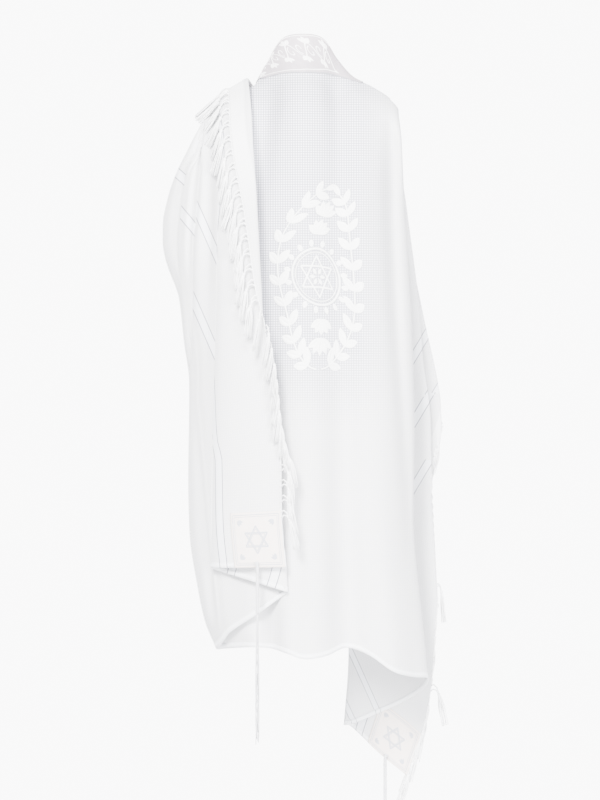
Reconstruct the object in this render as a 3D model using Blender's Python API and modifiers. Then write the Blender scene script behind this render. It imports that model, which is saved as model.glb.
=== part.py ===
"""A tallit prayer shawl as it is worn: one cloth over both shoulders, its left side folded
back over the left shoulder, its right side hanging in a cascade. Metres, +Z up. The origin is
at the base of the neck, the wearer's back faces -Y and the wearer's right is +X."""

import math

import bpy
import bmesh
import numpy as np

# The cut of the cloth, in the flat.
CUT_LENGTH = 1.40  # from the neck edge to the hem
HALF_WIDTH = 0.875  # from the middle of the back to each fringed edge
WALL = 0.0014
SEAM_GAP = 0.0003
SATIN_WALL = 0.0012
SQUARE = 0.12
ATARAH_DEPTH = 0.095
ATARAH_HALF = 0.26

# The four tassels and the fringe.
KNOTTED_LENGTH = 0.115
TZITZIT_LENGTH = 0.41
TUFT_SPACING = 0.0325
TUFT_INSET = 0.0055
TUFT_LIFT = 0.010
STRIP_WIDTH = 0.007
STRIP_WALL = 0.002
TUFT_REACH = (0.006, 0.020, 0.030, 0.074)
TUFT_WIDTHS = (0.003, 0.005, 0.0065, 0.005, 0.0085)
HEAD_STEPS = 15
KNOT_WIDTH = 0.0085
CORD_WIDTH = 0.0055

# The stretches of each fringed edge that lie clear of a fold's nose, by distance from the neck
# edge. Each has its own backing.
STRETCHES = {
    "fringe_left": ((0.0, 0.145), (0.245, 0.80), (0.90, 1.40)),
    "fringe_right": ((0.03, 0.44), (1.00, 1.40)),
}

# The way the left edge's tufts fall, at distances from the neck edge.
LEAN_LEFT = (
    # v, x, y, z
    (0.0, 0.60, 0.30, -1.0),
    (0.15, 0.60, 0.30, -1.0),
    (0.22, -0.10, 0.55, -0.8),
    (0.27, -0.60, 0.40, -0.75),
    (0.31, -0.75, 0.0, -0.55),
    (0.35, -0.65, -0.35, -0.70),
    (0.42, -0.55, -0.12, -1.0),
    (0.70, -0.45, -0.05, -1.0),
    (1.10, -0.32, -0.03, -1.0),
    (1.22, -0.30, -0.03, -1.0),
    (1.27, 0.32, -0.05, -1.0),
    (1.40, 0.32, -0.05, -1.0),
)

# Rows run across the cloth, each at one distance from the neck edge.
ROWS = (0.0, 0.03, 0.062, 0.095, 0.12, 0.145, 0.17, 0.195, 0.22, 0.245, 0.27, 0.295, 0.32, 0.35,
        0.39, 0.44, 0.51, 0.60, 0.70, 0.80, 0.90, 1.00, 1.10, 1.20, 1.28, 1.34, 1.40)

# How cloth lies over a shoulder and round the neck: drop along the cloth from the ridge, then
# the depth (minus is the back) and height that it reaches. A negative drop is the front.
SHOULDER = (
    # drop, y, z
    (-0.40, 0.118, -0.352),
    (-0.25, 0.108, -0.204),
    (-0.15, 0.092, -0.106),
    (-0.09, 0.068, -0.052),
    (-0.045, 0.038, -0.017),
    (0.0, 0.0, 0.0),
    (0.045, -0.038, -0.017),
    (0.09, -0.072, -0.046),
    (0.15, -0.104, -0.096),
    (0.25, -0.130, -0.192),
    (0.40, -0.144, -0.340),
    (0.80, -0.152, -0.738),
    (1.40, -0.156, -1.338),
)
NECK = (
    # drop, y, z
    (-0.10, 0.085, -0.020),
    (-0.05, 0.048, -0.004),
    (0.0, 0.0, 0.0),
    (0.05, -0.009, -0.049),
    (0.095, -0.026, -0.091),
    (0.13, -0.050, -0.117),
    (0.18, -0.078, -0.158),
    (0.25, -0.094, -0.226),
    (0.40, -0.104, -0.375),
    (0.80, -0.110, -0.775),
    (1.40, -0.114, -1.375),
)

# The ridge that the back panel hangs from: share of the way from the middle to the side, then
# sideways place, depth, height, and how much cloth lies in front of the ridge.
RIDGE_RIGHT = (
    # share, x, y, z, v_ridge
    (0.0, 0.0, -0.056, 0.094, 0.0),
    (0.15, 0.034, -0.047, 0.090, 0.0),
    (0.26, 0.058, -0.028, 0.070, 0.003),
    (0.36, 0.078, -0.010, 0.037, 0.012),
    (0.48, 0.104, 0.0, 0.004, 0.026),
    (0.66, 0.143, 0.0, -0.015, 0.034),
    (0.84, 0.181, 0.0, -0.037, 0.028),
    (1.0, 0.214, 0.0, -0.070, 0.012),
)
RIDGE_LEFT = (
    # share, x, y, z, v_ridge
    (0.0, 0.0, -0.056, 0.094, 0.0),
    (0.15, -0.036, -0.047, 0.090, 0.0),
    (0.26, -0.062, -0.026, 0.066, 0.006),
    (0.36, -0.082, -0.008, 0.028, 0.030),
    (0.48, -0.108, 0.0, -0.014, 0.070),
    (0.66, -0.145, 0.0, -0.040, 0.115),
    (0.84, -0.178, 0.0, -0.059, 0.150),
    (1.0, -0.207, 0.0, -0.077, 0.180),
)
LEFT_HEIGHT = [(x, z) for share, x, y, z, v_ridge in RIDGE_LEFT]

# Each fold's sideways place at heights down the garment.
FOLD_X = {
    # fold: (height, x) from the shoulder down
    "side_left": (
        (-0.06, -0.205), (-0.11, -0.233), (-0.16, -0.259), (-0.22, -0.289), (-0.27, -0.306),
        (-0.33, -0.317), (-0.37, -0.317), (-0.41, -0.310), (-0.45, -0.296), (-0.49, -0.281),
        (-0.60, -0.268), (-0.69, -0.257), (-0.88, -0.259), (-1.03, -0.256), (-1.15, -0.239),
        (-1.23, -0.222), (-1.30, -0.193),
    ),
    "valley_outer": (
        (-0.10, -0.220), (-0.17, -0.235), (-0.21, -0.260), (-0.24, -0.268), (-0.30, -0.275),
        (-0.37, -0.280), (-0.48, -0.277), (-0.60, -0.262), (-1.30, -0.190),
    ),
    "valley_inner": (
        (-0.10, -0.212), (-0.16, -0.229), (-0.26, -0.237), (-0.37, -0.244), (-0.49, -0.246),
        (-0.58, -0.250), (-0.70, -0.248), (-1.00, -0.240), (-1.30, -0.180),
    ),
    "fold_back": (
        (-0.05, -0.160), (-0.12, -0.160), (-0.25, -0.156), (-0.37, -0.133), (-0.50, -0.104),
        (-0.64, -0.079), (-0.86, -0.056), (-1.17, -0.034),
    ),
    "deep_crease": (
        (-0.05, -0.188), (-0.19, -0.189), (-0.29, -0.192), (-0.50, -0.196), (-0.69, -0.200),
        (-0.86, -0.205), (-1.11, -0.208),
    ),
    "flap_edge": (
        (-0.01, -0.126), (-0.08, -0.118), (-0.19, -0.111), (-0.26, -0.106), (-0.41, -0.098),
        (-0.56, -0.090), (-0.68, -0.080), (-0.81, -0.069), (-0.85, -0.057), (-0.99, -0.055),
        (-1.11, -0.045),
    ),
    "side_right": (
        (-0.07, 0.214), (-0.11, 0.218), (-0.28, 0.229), (-0.46, 0.240), (-0.62, 0.248),
        (-0.80, 0.251), (-0.98, 0.249), (-1.18, 0.264), (-1.36, 0.283),
    ),
    "front_left": (
        (-0.07, 0.168), (-0.20, 0.180), (-0.48, 0.176), (-0.60, 0.158), (-0.73, 0.130),
        (-0.95, 0.096), (-1.10, 0.094), (-1.29, 0.104), (-1.47, 0.094),
    ),
    "front_right": (
        (-0.16, 0.212), (-0.30, 0.236), (-0.52, 0.264), (-0.63, 0.272), (-0.77, 0.289),
        (-0.87, 0.291), (-0.97, 0.296), (-1.12, 0.303), (-1.40, 0.318), (-1.66, 0.330),
    ),
    "second_left": (
        (-0.20, 0.180), (-0.33, 0.190), (-0.55, 0.212), (-0.67, 0.234), (-0.80, 0.255),
        (-0.90, 0.260), (-1.20, 0.275),
    ),
    "second_right": (
        (-0.20, 0.222), (-0.27, 0.228), (-0.40, 0.246), (-0.52, 0.270), (-0.57, 0.281),
        (-0.64, 0.297), (-0.69, 0.307), (-0.74, 0.314), (-1.20, 0.330),
    ),
    "third_left": ((-0.30, -0.060), (-0.60, 0.000), (-0.90, 0.240), (-1.30, 0.280)),
}

# How far the flap's own edge is turned back toward the viewer, by height.
TURNED_BACK = (
    (-0.03, 0.044), (-0.10, 0.048), (-0.16, 0.045), (-0.23, 0.037), (-0.30, 0.029),
    (-0.36, 0.023), (-0.42, 0.018), (-0.48, 0.012), (-0.57, -0.003), (-0.70, -0.006),
)

# Folds over the left shoulder: cloth in front of the ridge, ridge height, hem height.
LEFT_HANG = {
    # fold: (v_ridge, z_ridge, z_hem)
    "side_left": (0.180, -0.069, -1.294),
    "valley_outer": (0.195, -0.061, -1.280),
    "valley_inner": (0.215, -0.053, -1.262),
    "fold_back": (0.255, -0.042, -1.163),
    "deep_crease": (0.295, -0.056, -1.109),
    "flap_edge": (0.313, -0.022, -1.106),
}

# Folds that hang in front of the right shoulder: heights of the neck edge and of the hem.
RIGHT_HANG = {
    # fold: (z_top, z_hem)
    "front_left": (-0.125, -1.4715),
    "front_right": (-0.160, -1.660),
    "second_left": (-0.200, -1.700),
    "second_right": (-0.270, -1.720),
    "third_left": (-0.290, -1.740),
}

# How far forward the first of those panels hangs, by height and by sideways place.
FRONT_DEPTH = (
    # z, y
    (-0.07, 0.074), (-0.20, 0.088), (-0.50, 0.095), (-1.00, 0.102), (-1.70, 0.110),
)
FRONT_ROUND = (
    # x, y
    (-0.10, 0.020), (0.0, 0.032), (0.10, 0.028), (0.20, 0.0), (0.34, -0.042),
)

# The back panel's hem, from the left silhouette to the right one.
HEM_HEIGHT = (
    # x, z
    (-0.194, -1.294), (-0.164, -1.291), (-0.108, -1.287), (-0.064, -1.290), (-0.028, -1.303),
    (0.005, -1.313), (0.030, -1.313), (0.061, -1.302), (0.085, -1.292), (0.109, -1.288),
    (0.141, -1.298), (0.164, -1.315), (0.194, -1.337), (0.222, -1.349), (0.257, -1.357),
    (0.284, -1.361),
)

# How far each layer of the left stack lies outside the back panel, when it hangs free.
LAYER_STEP = 0.0125
FOLD_NOSE = 0.009
STRIP_LEAST = 0.007  # the flap's edge stands off its face where less than this is turned back
LAYERS = {"strip": 4.0, "flap": 3.0, "under": 2.0, "bias": 1.0, "back": 0.0}
RIDGE_SHARE = 0.56  # of that spacing, where the layers lie on the shoulder


def smooth_table(table, at, column=1):
    """A smooth curve through a table's rows, held level past its ends."""
    knots = [row[0] for row in table]
    values = [row[column] for row in table]
    if knots[0] > knots[-1]:
        knots, values = knots[::-1], values[::-1]
    if at <= knots[0]:
        return values[0]
    if at >= knots[-1]:
        return values[-1]
    i = int(np.searchsorted(knots, at)) - 1
    span = knots[i + 1] - knots[i]
    chord = (values[i + 1] - values[i]) / span

    def slope(j):
        if j == 0 or j == len(knots) - 1:
            return None
        before = (values[j] - values[j - 1]) / (knots[j] - knots[j - 1])
        after = (values[j + 1] - values[j]) / (knots[j + 1] - knots[j])
        if before * after <= 0:
            return 0.0
        return 2 * before * after / (before + after)

    start, end = slope(i), slope(i + 1)
    start = chord if start is None else start
    end = chord if end is None else end
    t = (at - knots[i]) / span
    return (
        (2 * t**3 - 3 * t**2 + 1) * values[i]
        + (t**3 - 2 * t**2 + t) * span * start
        + (3 * t**2 - 2 * t**3) * values[i + 1]
        + (t**3 - t**2) * span * end
    )


def ease(low, high, at):
    t = min(max((at - low) / (high - low), 0.0), 1.0)
    return t * t * (3 - 2 * t)


def mix(a, b, share):
    return a + (b - a) * share


def over_shoulder(drop, neck):
    """Depth and height reached at a drop along the cloth, between the shoulder and the neck."""
    y = mix(smooth_table(SHOULDER, drop, 1), smooth_table(NECK, drop, 1), neck)
    z = mix(smooth_table(SHOULDER, drop, 2), smooth_table(NECK, drop, 2), neck)
    return y, z


def outward(drop, neck):
    """The direction, across the cloth, in which the layers stack up."""
    y0, z0 = over_shoulder(drop - 0.004, neck)
    y1, z1 = over_shoulder(drop + 0.004, neck)
    length = math.hypot(y1 - y0, z1 - z0)
    return (z1 - z0) / length, -(y1 - y0) / length


def hang_z(drop, z_ridge, z_hem, drop_hem, neck=0.0):
    """Height at a drop from the ridge, drawn out so that the hem meets its own height."""
    y, z = over_shoulder(drop, neck)
    if drop <= 0:
        return y, z_ridge + z
    reach = (z_ridge - z_hem) / -over_shoulder(drop_hem, neck)[1]
    return y, z_ridge + z * mix(1.0, reach, ease(0.0, 0.3, drop))


def side_turn(share, drop):
    """How much of the back's depth is left as the panel turns round the wearer's side."""
    return 1 - abs(share) ** 4 * 0.86 * ease(0.0, 0.28, drop)


def back_point(share, v):
    """A point of the back panel: share is -1 at the left fold, 0 in the middle, 1 at the right."""
    ridge = RIDGE_RIGHT if share >= 0 else RIDGE_LEFT
    side = "side_right" if share >= 0 else "side_left"
    across = abs(share)
    x_ridge, y_ridge, z_ridge, v_ridge = (smooth_table(ridge, across, c) for c in (1, 2, 3, 4))
    neck = 1 - ease(0.24, 0.56, across)
    drop = v - v_ridge
    x_hem = smooth_table(FOLD_X[side], -1.5) * across
    z_hem = smooth_table(HEM_HEIGHT, x_hem)
    y, z = hang_z(drop, z_ridge, z_hem, CUT_LENGTH - v_ridge, neck)
    x_free = smooth_table(FOLD_X[side], min(z, -0.07)) * across
    x = mix(x_ridge, x_free, ease(0.0, 0.12, drop))
    if drop < 0:
        x = x_ridge * (1 + 0.3 * drop)
    if share < 0:
        z += (smooth_table(LEFT_HEIGHT, x) - z_ridge) * (1 - ease(0.15, 0.5, drop))
    y = (y + y_ridge) * side_turn(share, drop)
    y += hem_wave(x) * ease(0.45, 1.40, v)
    return np.array((x, y, z))


def hem_wave(x):
    """The soft flutes of the lower back, deepest at the hem."""
    return 0.020 * math.sin((x - 0.045) / 0.135 * math.pi) * (1 - ease(0.16, 0.27, abs(x)))


def stacked_point(x, v, fold_a, fold_b, share, layer):
    """A point of a layer that hangs from the left shoulder, between two of its folds."""
    v_ridge, z_ridge, z_hem = (
        mix(a, b, share) for a, b in zip(LEFT_HANG[fold_a], LEFT_HANG[fold_b])
    )
    drop = v - v_ridge
    y, z = hang_z(drop, z_ridge, z_hem, CUT_LENGTH - v_ridge)
    z += (smooth_table(LEFT_HEIGHT, x) - z_ridge) * (1 - ease(0.15, 0.5, drop))
    side = smooth_table(FOLD_X["side_left"], min(z, -0.07))
    y *= side_turn(min(abs(x / side), 1.0), drop)
    y += hem_wave(x) * ease(0.45, 1.40, v) * 0.4
    away = layer * LAYER_STEP * mix(RIDGE_SHARE, 1.0, ease(0.03, 0.35, abs(drop)))
    out_y, out_z = outward(drop, 0.0)
    return np.array((x, y + away * out_y, z + away * out_z))


def left_height(fold, v):
    v_ridge, z_ridge, z_hem = LEFT_HANG[fold]
    return hang_z(v - v_ridge, z_ridge, z_hem, CUT_LENGTH - v_ridge)[1]


def left_x(fold, v):
    """A left fold's sideways place in a row. In front of the ridge the folds spread a little."""
    drop = v - LEFT_HANG[fold][0]
    if drop >= 0:
        return smooth_table(FOLD_X[fold], left_height(fold, v))
    x = FOLD_X[fold][0][1]
    spread = {"flap_edge": 0.26, "deep_crease": -0.10, "fold_back": 0.0}.get(fold, -0.04)
    return x - drop * spread


def turned_back(v):
    """Width of the strip that the flap's edge turns back, and none at the front corner."""
    width = smooth_table(TURNED_BACK, left_height("flap_edge", v))
    return mix(-0.004, width, ease(0.13, 0.28, v))


def row_left(v):
    """Way-points of a row from the left fringed edge to the left silhouette, and the number of
    the way-point at each fold."""
    x = {fold: left_x(fold, v) for fold in LEFT_HANG}
    x["valley_outer"] = max(x["valley_outer"], x["side_left"] + 0.012)
    x["valley_inner"] = max(x["valley_inner"], x["valley_outer"] + 0.012)
    x["fold_back"] = max(x["fold_back"], x["deep_crease"] + 0.016, x["valley_inner"] + 0.022)
    points, folds = [], {}

    def add(at, fold_a, fold_b, share, layer, name=None):
        if name:
            folds[name] = len(points)
        points.append(stacked_point(at, v, fold_a, fold_b, share, layer))

    strip = turned_back(v)
    stand = math.sqrt(max(STRIP_LEAST**2 - strip**2, 0.0)) / LAYER_STEP
    lift = LAYERS["flap"] + ease(0.0, 0.012, strip) + stand
    edge = x["flap_edge"]
    crease = x["deep_crease"]
    under = x["fold_back"]
    add(edge - strip, "flap_edge", "flap_edge", 0, lift, "edge")
    if strip > 0.012:
        add(edge - strip * 0.5, "flap_edge", "flap_edge", 0, lift)
    if strip > 0.002:
        add(edge - 0.004, "flap_edge", "flap_edge", 0, mix(LAYERS["flap"], lift, 0.9))
    add(edge, "flap_edge", "flap_edge", 0, mix(LAYERS["flap"], lift, 0.5), "flap_edge")
    for share in (0.08, 0.3, 0.5, 0.7):
        at = mix(edge, crease, share)
        swell = 0.35 * math.sin(share * math.pi) * ease(0.05, 0.25, abs(v - 0.3))
        add(at, "flap_edge", "deep_crease", share, LAYERS["flap"] + swell)
    nose = min(FOLD_NOSE, 0.3 * (under - crease))
    add(crease + nose, "flap_edge", "deep_crease", 0.94, LAYERS["flap"])
    add(crease, "deep_crease", "deep_crease", 0, 2.5, "deep_crease")
    add(crease + nose, "deep_crease", "fold_back", 0.06, LAYERS["under"])
    if under - crease > 0.05:
        add(mix(crease, under, 0.5), "deep_crease", "fold_back", 0.5, LAYERS["under"])
    add(under - nose, "deep_crease", "fold_back", 0.94, LAYERS["under"])
    add(under, "fold_back", "fold_back", 0, 1.5, "fold_back")
    nose = min(FOLD_NOSE, 0.3 * (under - x["valley_inner"]))
    add(under - nose, "fold_back", "valley_inner", 0.06, LAYERS["bias"])
    open_now = ease(0.012, 0.03, x["valley_outer"] - x["side_left"])
    bulge = 1.0 + 0.9 * ease(0.02, 0.06, x["valley_inner"] - x["valley_outer"])
    if under - x["valley_inner"] > 0.05:
        at = mix(under, x["valley_inner"], 0.45)
        add(at, "fold_back", "valley_inner", 0.45, 1.0)
    add(x["valley_inner"] + nose, "fold_back", "valley_inner", 0.9, bulge)
    add(x["valley_inner"], "valley_inner", "valley_inner", 0, 0.85, "valley_inner")
    add(mix(x["valley_inner"], x["valley_outer"], 0.5), "valley_inner", "valley_outer", 0.5, bulge)
    add(x["valley_outer"], "valley_outer", "valley_outer", 0, mix(1.0, 0.6, open_now), "valley_outer")
    add(mix(x["valley_outer"], x["side_left"], 0.6), "valley_outer", "side_left", 0.6,
        mix(1.0, 1.5, open_now))
    tip = back_point(-1.0, v)
    tip_out = stacked_point(x["side_left"], v, "side_left", "side_left", 0, 0.5)
    folds["side_left"] = len(points)
    points.append(np.array((x["side_left"], tip_out[1], tip[2])))
    return points, folds


def front_point(x, z, layer):
    """A point of a panel in front of the right shoulder. Each panel keeps to its own layer."""
    y = smooth_table(FRONT_DEPTH, z) + smooth_table(FRONT_ROUND, x) + layer * LAYER_STEP
    return np.array((x, y, z))


def row_right(v):
    """Way-points of a row beyond the right silhouette: the cascade in front of the wearer."""
    points, folds = [], {}
    side = back_point(1.0, v)
    heights = {fold: mix(*hang, v / CUT_LENGTH) for fold, hang in RIGHT_HANG.items()}
    tips = {fold: (smooth_table(FOLD_X[fold], z), z) for fold, z in heights.items()}
    x, z = tips["front_left"]
    first = front_point(x + FOLD_NOSE, z, 0.0)
    for share in (0.25, 0.5, 0.75):
        turn = share * math.pi / 2
        x = mix(side[0], first[0], 1 - math.cos(turn))
        y = mix(side[1], first[1], math.sin(turn))
        points.append(np.array((x, y, mix(side[2], first[2], share))))
    names = list(tips)
    for number, name in enumerate(names):
        x, z = tips[name]
        width = min(abs(x - tips[other][0]) for other in names[max(number - 1, 0):number + 2]
                    if other != name)
        nose = min(FOLD_NOSE, 0.3 * width) * (-1 if name.endswith("right") else 1)
        points.append(front_point(x + nose, z, number))
        folds[name] = len(points)
        points.append(front_point(x, z, number + 0.5))
        points.append(front_point(x + nose, z, number + 1))
        if number + 1 < len(names):
            x_next, z_next = tips[names[number + 1]]
            for share in (0.35, 0.65):
                points.append(front_point(mix(x, x_next, share), mix(z, z_next, share), number + 1))
        else:
            points.append(front_point(x + 0.12, z - 0.05, number + 1))
    return points, folds


def blend(a, b, start, end, t):
    return (a * (end - t) + b * (t - start)) / (end - start)


def spline(points, steps):
    """A centripetal Catmull-Rom curve through the way-points."""
    p = np.array(points)
    p = np.vstack((2 * p[0] - p[1], p, 2 * p[-1] - p[-2]))
    curve = []
    for i in range(1, len(p) - 2):
        knots = [0.0]
        for a, b in zip(p[i - 1 : i + 2], p[i : i + 3]):
            knots.append(knots[-1] + max(np.linalg.norm(b - a), 1e-5) ** 0.5)
        for t in np.linspace(knots[1], knots[2], steps, endpoint=False):
            legs = [blend(p[i + j - 1], p[i + j], knots[j], knots[j + 1], t) for j in range(3)]
            before = blend(legs[0], legs[1], knots[0], knots[2], t)
            after = blend(legs[1], legs[2], knots[1], knots[3], t)
            curve.append(blend(before, after, knots[1], knots[2], t))
    curve.append(p[-2])
    return np.array(curve)


SPLINE_STEPS = 10
BACK_SHARES = (-0.88, -0.72, -0.54, -0.36, -0.18, 0.0, 0.18, 0.36, 0.54, 0.72, 0.88, 1.0)


def row_curve(v):
    """A whole row as a fine curve, with the distance along it and the distance at each fold."""
    points, folds = row_left(v)
    for share in BACK_SHARES:
        if share == 0.0:
            folds["middle"] = len(points)
        if share == 1.0:
            folds["side_right"] = len(points)
        points.append(back_point(share, v))
    beyond, right_folds = row_right(v)
    for name, index in right_folds.items():
        folds[name] = index + len(points)
    points.extend(beyond)
    curve = spline(points, SPLINE_STEPS)
    along = np.concatenate(([0.0], np.cumsum(np.linalg.norm(np.diff(curve, axis=0), axis=1))))
    places = {name: along[index * SPLINE_STEPS] for name, index in folds.items()}
    return curve, along, places


# Columns of the cloth: from each fold to the next, how many, and how close the columns beside
# a fold stand to it.
BESIDE_FOLD = 0.008
COLUMNS_LEFT = (
    # from, to, columns between
    ("edge", "flap_edge", 2),
    ("flap_edge", "deep_crease", 5),
    ("deep_crease", "fold_back", 4),
    ("fold_back", "valley_inner", 4),
    ("valley_inner", "valley_outer", 2),
    ("valley_outer", "side_left", 2),
    ("side_left", "middle", 9),
    ("middle", "side_right", 9),
)
COLUMNS_RIGHT = (
    ("side_right", "front_left", 6),
    ("front_left", "front_right", 6),
    ("front_right", "second_left", 4),
    ("second_left", "second_right", 4),
    ("second_right", "end", 4),
)
CLOSEST_COLUMNS = 0.004
MIDDLE_COLUMN = sum(count + 1 for start, stop, count in COLUMNS_LEFT[:-1])

# Each corner tassel: the rows that it follows from its hole, the hole's column, the face that
# it lies on, and how far it drifts from that face as it hangs.
TASSELS = (
    # name, rows, column, side, drift
    ("tzitzit_lower_left", (-2, -1), 3, -1, -0.04),
    ("tzitzit_lower_right", (-2, -1), -8, 1, 0.0),
    ("tzitzit_upper_left", (2, 1, 0), 3, -1, 0.04),
    ("tzitzit_upper_right", (1, 2), -2, 1, 0.20),
)
TASSEL_CLEAR = 0.0064  # from the middle of the cloth to the middle of the tassel's head
SHARP = {"flap_edge", "deep_crease", "fold_back", "side_left", "front_left", "front_right",
         "second_left", "second_right"}


def between(start, end, count, sharp_start, sharp_end):
    """Distances of the columns after start and before end, with one close to a sharp fold."""
    span = end - start
    near = min(BESIDE_FOLD, span / (count + 1))
    low = start + (near if sharp_start else span / (count + 1))
    high = end - (near if sharp_end else span / (count + 1))
    return list(np.linspace(low, high, count))


def column_places(places):
    """Distances along a row at which its columns stand, from the left edge to the right."""
    stations = dict(places)
    end = places["middle"] + HALF_WIDTH
    stations["end"] = end
    remaining = 0
    for start, stop, count in reversed(COLUMNS_RIGHT):
        remaining += count + 1
        if start != "side_right":
            latest = end - remaining * CLOSEST_COLUMNS
            if stations[start] > latest:
                stations[start] = latest
                if start == "front_right":
                    stations["square_line"] = end - SQUARE
    found = [0.0]
    for start, stop, count in COLUMNS_LEFT + COLUMNS_RIGHT:
        a, b = stations[start], stations[stop]
        if stop == "front_right" and "square_line" in stations:
            line = stations["square_line"]
            found += between(a, line, count - 2, True, False) + [line, mix(line, b, 0.5), b]
            continue
        if stop == "end":
            near = min(BESIDE_FOLD, (b - a) / (count + 1))
            line = max(end - SQUARE, a + 2 * near)
            found += [a + near] + list(np.linspace(line, b, count))
            continue
        found += between(a, b, count, start in SHARP, stop in SHARP) + [b]
    return np.array(found)


def cloth_grid(rows=ROWS):
    """Points of the cloth, a row for each of rows, and each row's distances from its ends."""
    grid, along_rows = [], []
    for v in rows:
        curve, along, places = row_curve(v)
        columns = column_places(places)
        grid.append([[np.interp(c, along, curve[:, k]) for k in range(3)] for c in columns])
        along_rows.append(columns)
    return np.array(grid), np.array(along_rows)


def normals_of(grid):
    """Unit normals of the grid's outer face, the one turned away from the wearer's back."""
    across = np.gradient(grid, axis=1)
    down = np.gradient(grid, axis=0)
    normal = np.cross(down, across)
    return normal / np.linalg.norm(normal, axis=2, keepdims=True)


def clear_scene():
    for thing in list(bpy.data.objects):
        bpy.data.objects.remove(thing, do_unlink=True)


def collection_named(name, hidden=False):
    collection = bpy.data.collections.new(name)
    collection.hide_render = hidden
    bpy.context.scene.collection.children.link(collection)
    return collection


def material(name, colour, roughness, sheen=0.0):
    made = bpy.data.materials.new(name)
    made.use_nodes = True
    shader = made.node_tree.nodes["Principled BSDF"]
    shader.inputs["Base Color"].default_value = (*colour, 1.0)
    shader.inputs["Roughness"].default_value = roughness
    shader.inputs["Metallic"].default_value = 0.0
    shader.inputs["Sheen Weight"].default_value = sheen
    return made


def object_from(name, mesh, collection, finish):
    made = bpy.data.objects.new(name, mesh)
    made.data.materials.append(finish)
    collection.objects.link(made)
    for polygon in mesh.polygons:
        polygon.use_smooth = True
    return made


def sheet_from_grid(name, grid, wall, collection, finish):
    """An open sheet over a grid of points, given its wall by Solidify."""
    rows, columns = grid.shape[:2]
    body = bmesh.new()
    corners = [[body.verts.new(point) for point in row] for row in grid]
    for r in range(rows - 1):
        for c in range(columns - 1):
            a, b = corners[r][c], corners[r][c + 1]
            d, e = corners[r + 1][c], corners[r + 1][c + 1]
            body.faces.new((a, d, e))
            body.faces.new((a, e, b))
    mesh = bpy.data.meshes.new(name)
    body.to_mesh(mesh)
    body.free()
    made = object_from(name, mesh, collection, finish)
    thicken = made.modifiers.new("wall", "SOLIDIFY")
    thicken.thickness = wall
    thicken.offset = 0.0
    return made


def laid_on(name, shape, rows, columns, side, collection, finish):
    """Part of the cloth's own grid, moved out to lie on one of its faces: 1 outer, -1 inner."""
    grid, normals, along = shape
    out = side * (WALL / 2 + SEAM_GAP + SATIN_WALL / 2)
    piece = grid[rows[0] : rows[1] + 1, columns[0] : columns[1] + 1]
    normal = normals[rows[0] : rows[1] + 1, columns[0] : columns[1] + 1]
    return sheet_from_grid(name, piece + normal * out, SATIN_WALL, collection, finish)


def nearest(values, wanted):
    return int(np.argmin(np.abs(np.array(values) - wanted)))


def ring(centre, direction, across, wide, thick):
    """Four corners round a lock's centre line."""
    side = across - direction * np.dot(across, direction)
    side /= np.linalg.norm(side)
    front = np.cross(direction, side)
    return [
        centre + side * wide / 2,
        centre + front * thick / 2,
        centre - side * wide / 2,
        centre - front * thick / 2,
    ]


def add_lock(body, path, widths, across, flatness=0.6):
    """One closed four-sided lock along a path, with a width at each of the path's points."""
    path = np.array(path)
    directions = np.gradient(path, axis=0)
    rings = []
    for centre, direction, wide in zip(path, directions, widths):
        direction = direction / np.linalg.norm(direction)
        corners = ring(centre, direction, across, wide, wide * flatness)
        rings.append([body.verts.new(corner) for corner in corners])
    for upper, lower in zip(rings, rings[1:]):
        for k in range(4):
            body.faces.new((upper[k], upper[(k + 1) % 4], lower[(k + 1) % 4], lower[k]))
    body.faces.new(rings[0][::-1])
    body.faces.new(rings[-1])


def mesh_from(name, body):
    bmesh.ops.recalc_face_normals(body, faces=body.faces)
    mesh = bpy.data.meshes.new(name)
    body.to_mesh(mesh)
    body.free()
    return mesh


def fused(name, base, locks, collection, cutters, finish):
    """A backing and the locks rooted in it, joined into one body."""
    made = object_from(name, mesh_from(name, base), collection, finish)
    other = object_from(name + "_locks", mesh_from(name + "_locks", locks), cutters, finish)
    other.hide_render = True
    other.display_type = "WIRE"
    join = made.modifiers.new("roots", "BOOLEAN")
    join.operation = "UNION"
    join.solver = "EXACT"
    join.use_self = True
    join.object = other
    return made


def edge_frames(grid, column, inner):
    """Points of a fringed edge and the way out of the cloth there, square to the edge."""
    edge = grid[:, column]
    along = np.gradient(edge, axis=0)
    along /= np.linalg.norm(along, axis=1, keepdims=True)
    out = edge - grid[:, inner]
    out -= along * np.sum(out * along, axis=1, keepdims=True)
    return edge, out / np.linalg.norm(out, axis=1, keepdims=True)


def add_strip(body, edge, out, face):
    """The narrow backing that a stretch of tufts is rooted in, just clear of the cloth."""
    rings = []
    for point, away, normal in zip(edge, out, face):
        start = point + away * SEAM_GAP
        end = point + away * (SEAM_GAP + STRIP_WIDTH)
        half = normal * STRIP_WALL / 2
        corners = (start + half, end + half, end - half, start - half)
        rings.append([body.verts.new(corner) for corner in corners])
    for upper, lower in zip(rings, rings[1:]):
        for k in range(4):
            following = (k + 1) % 4
            body.faces.new((upper[k], upper[following], lower[following]))
            body.faces.new((upper[k], lower[following], lower[k]))
    body.faces.new(rings[0][::-1])
    body.faces.new(rings[-1])


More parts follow.
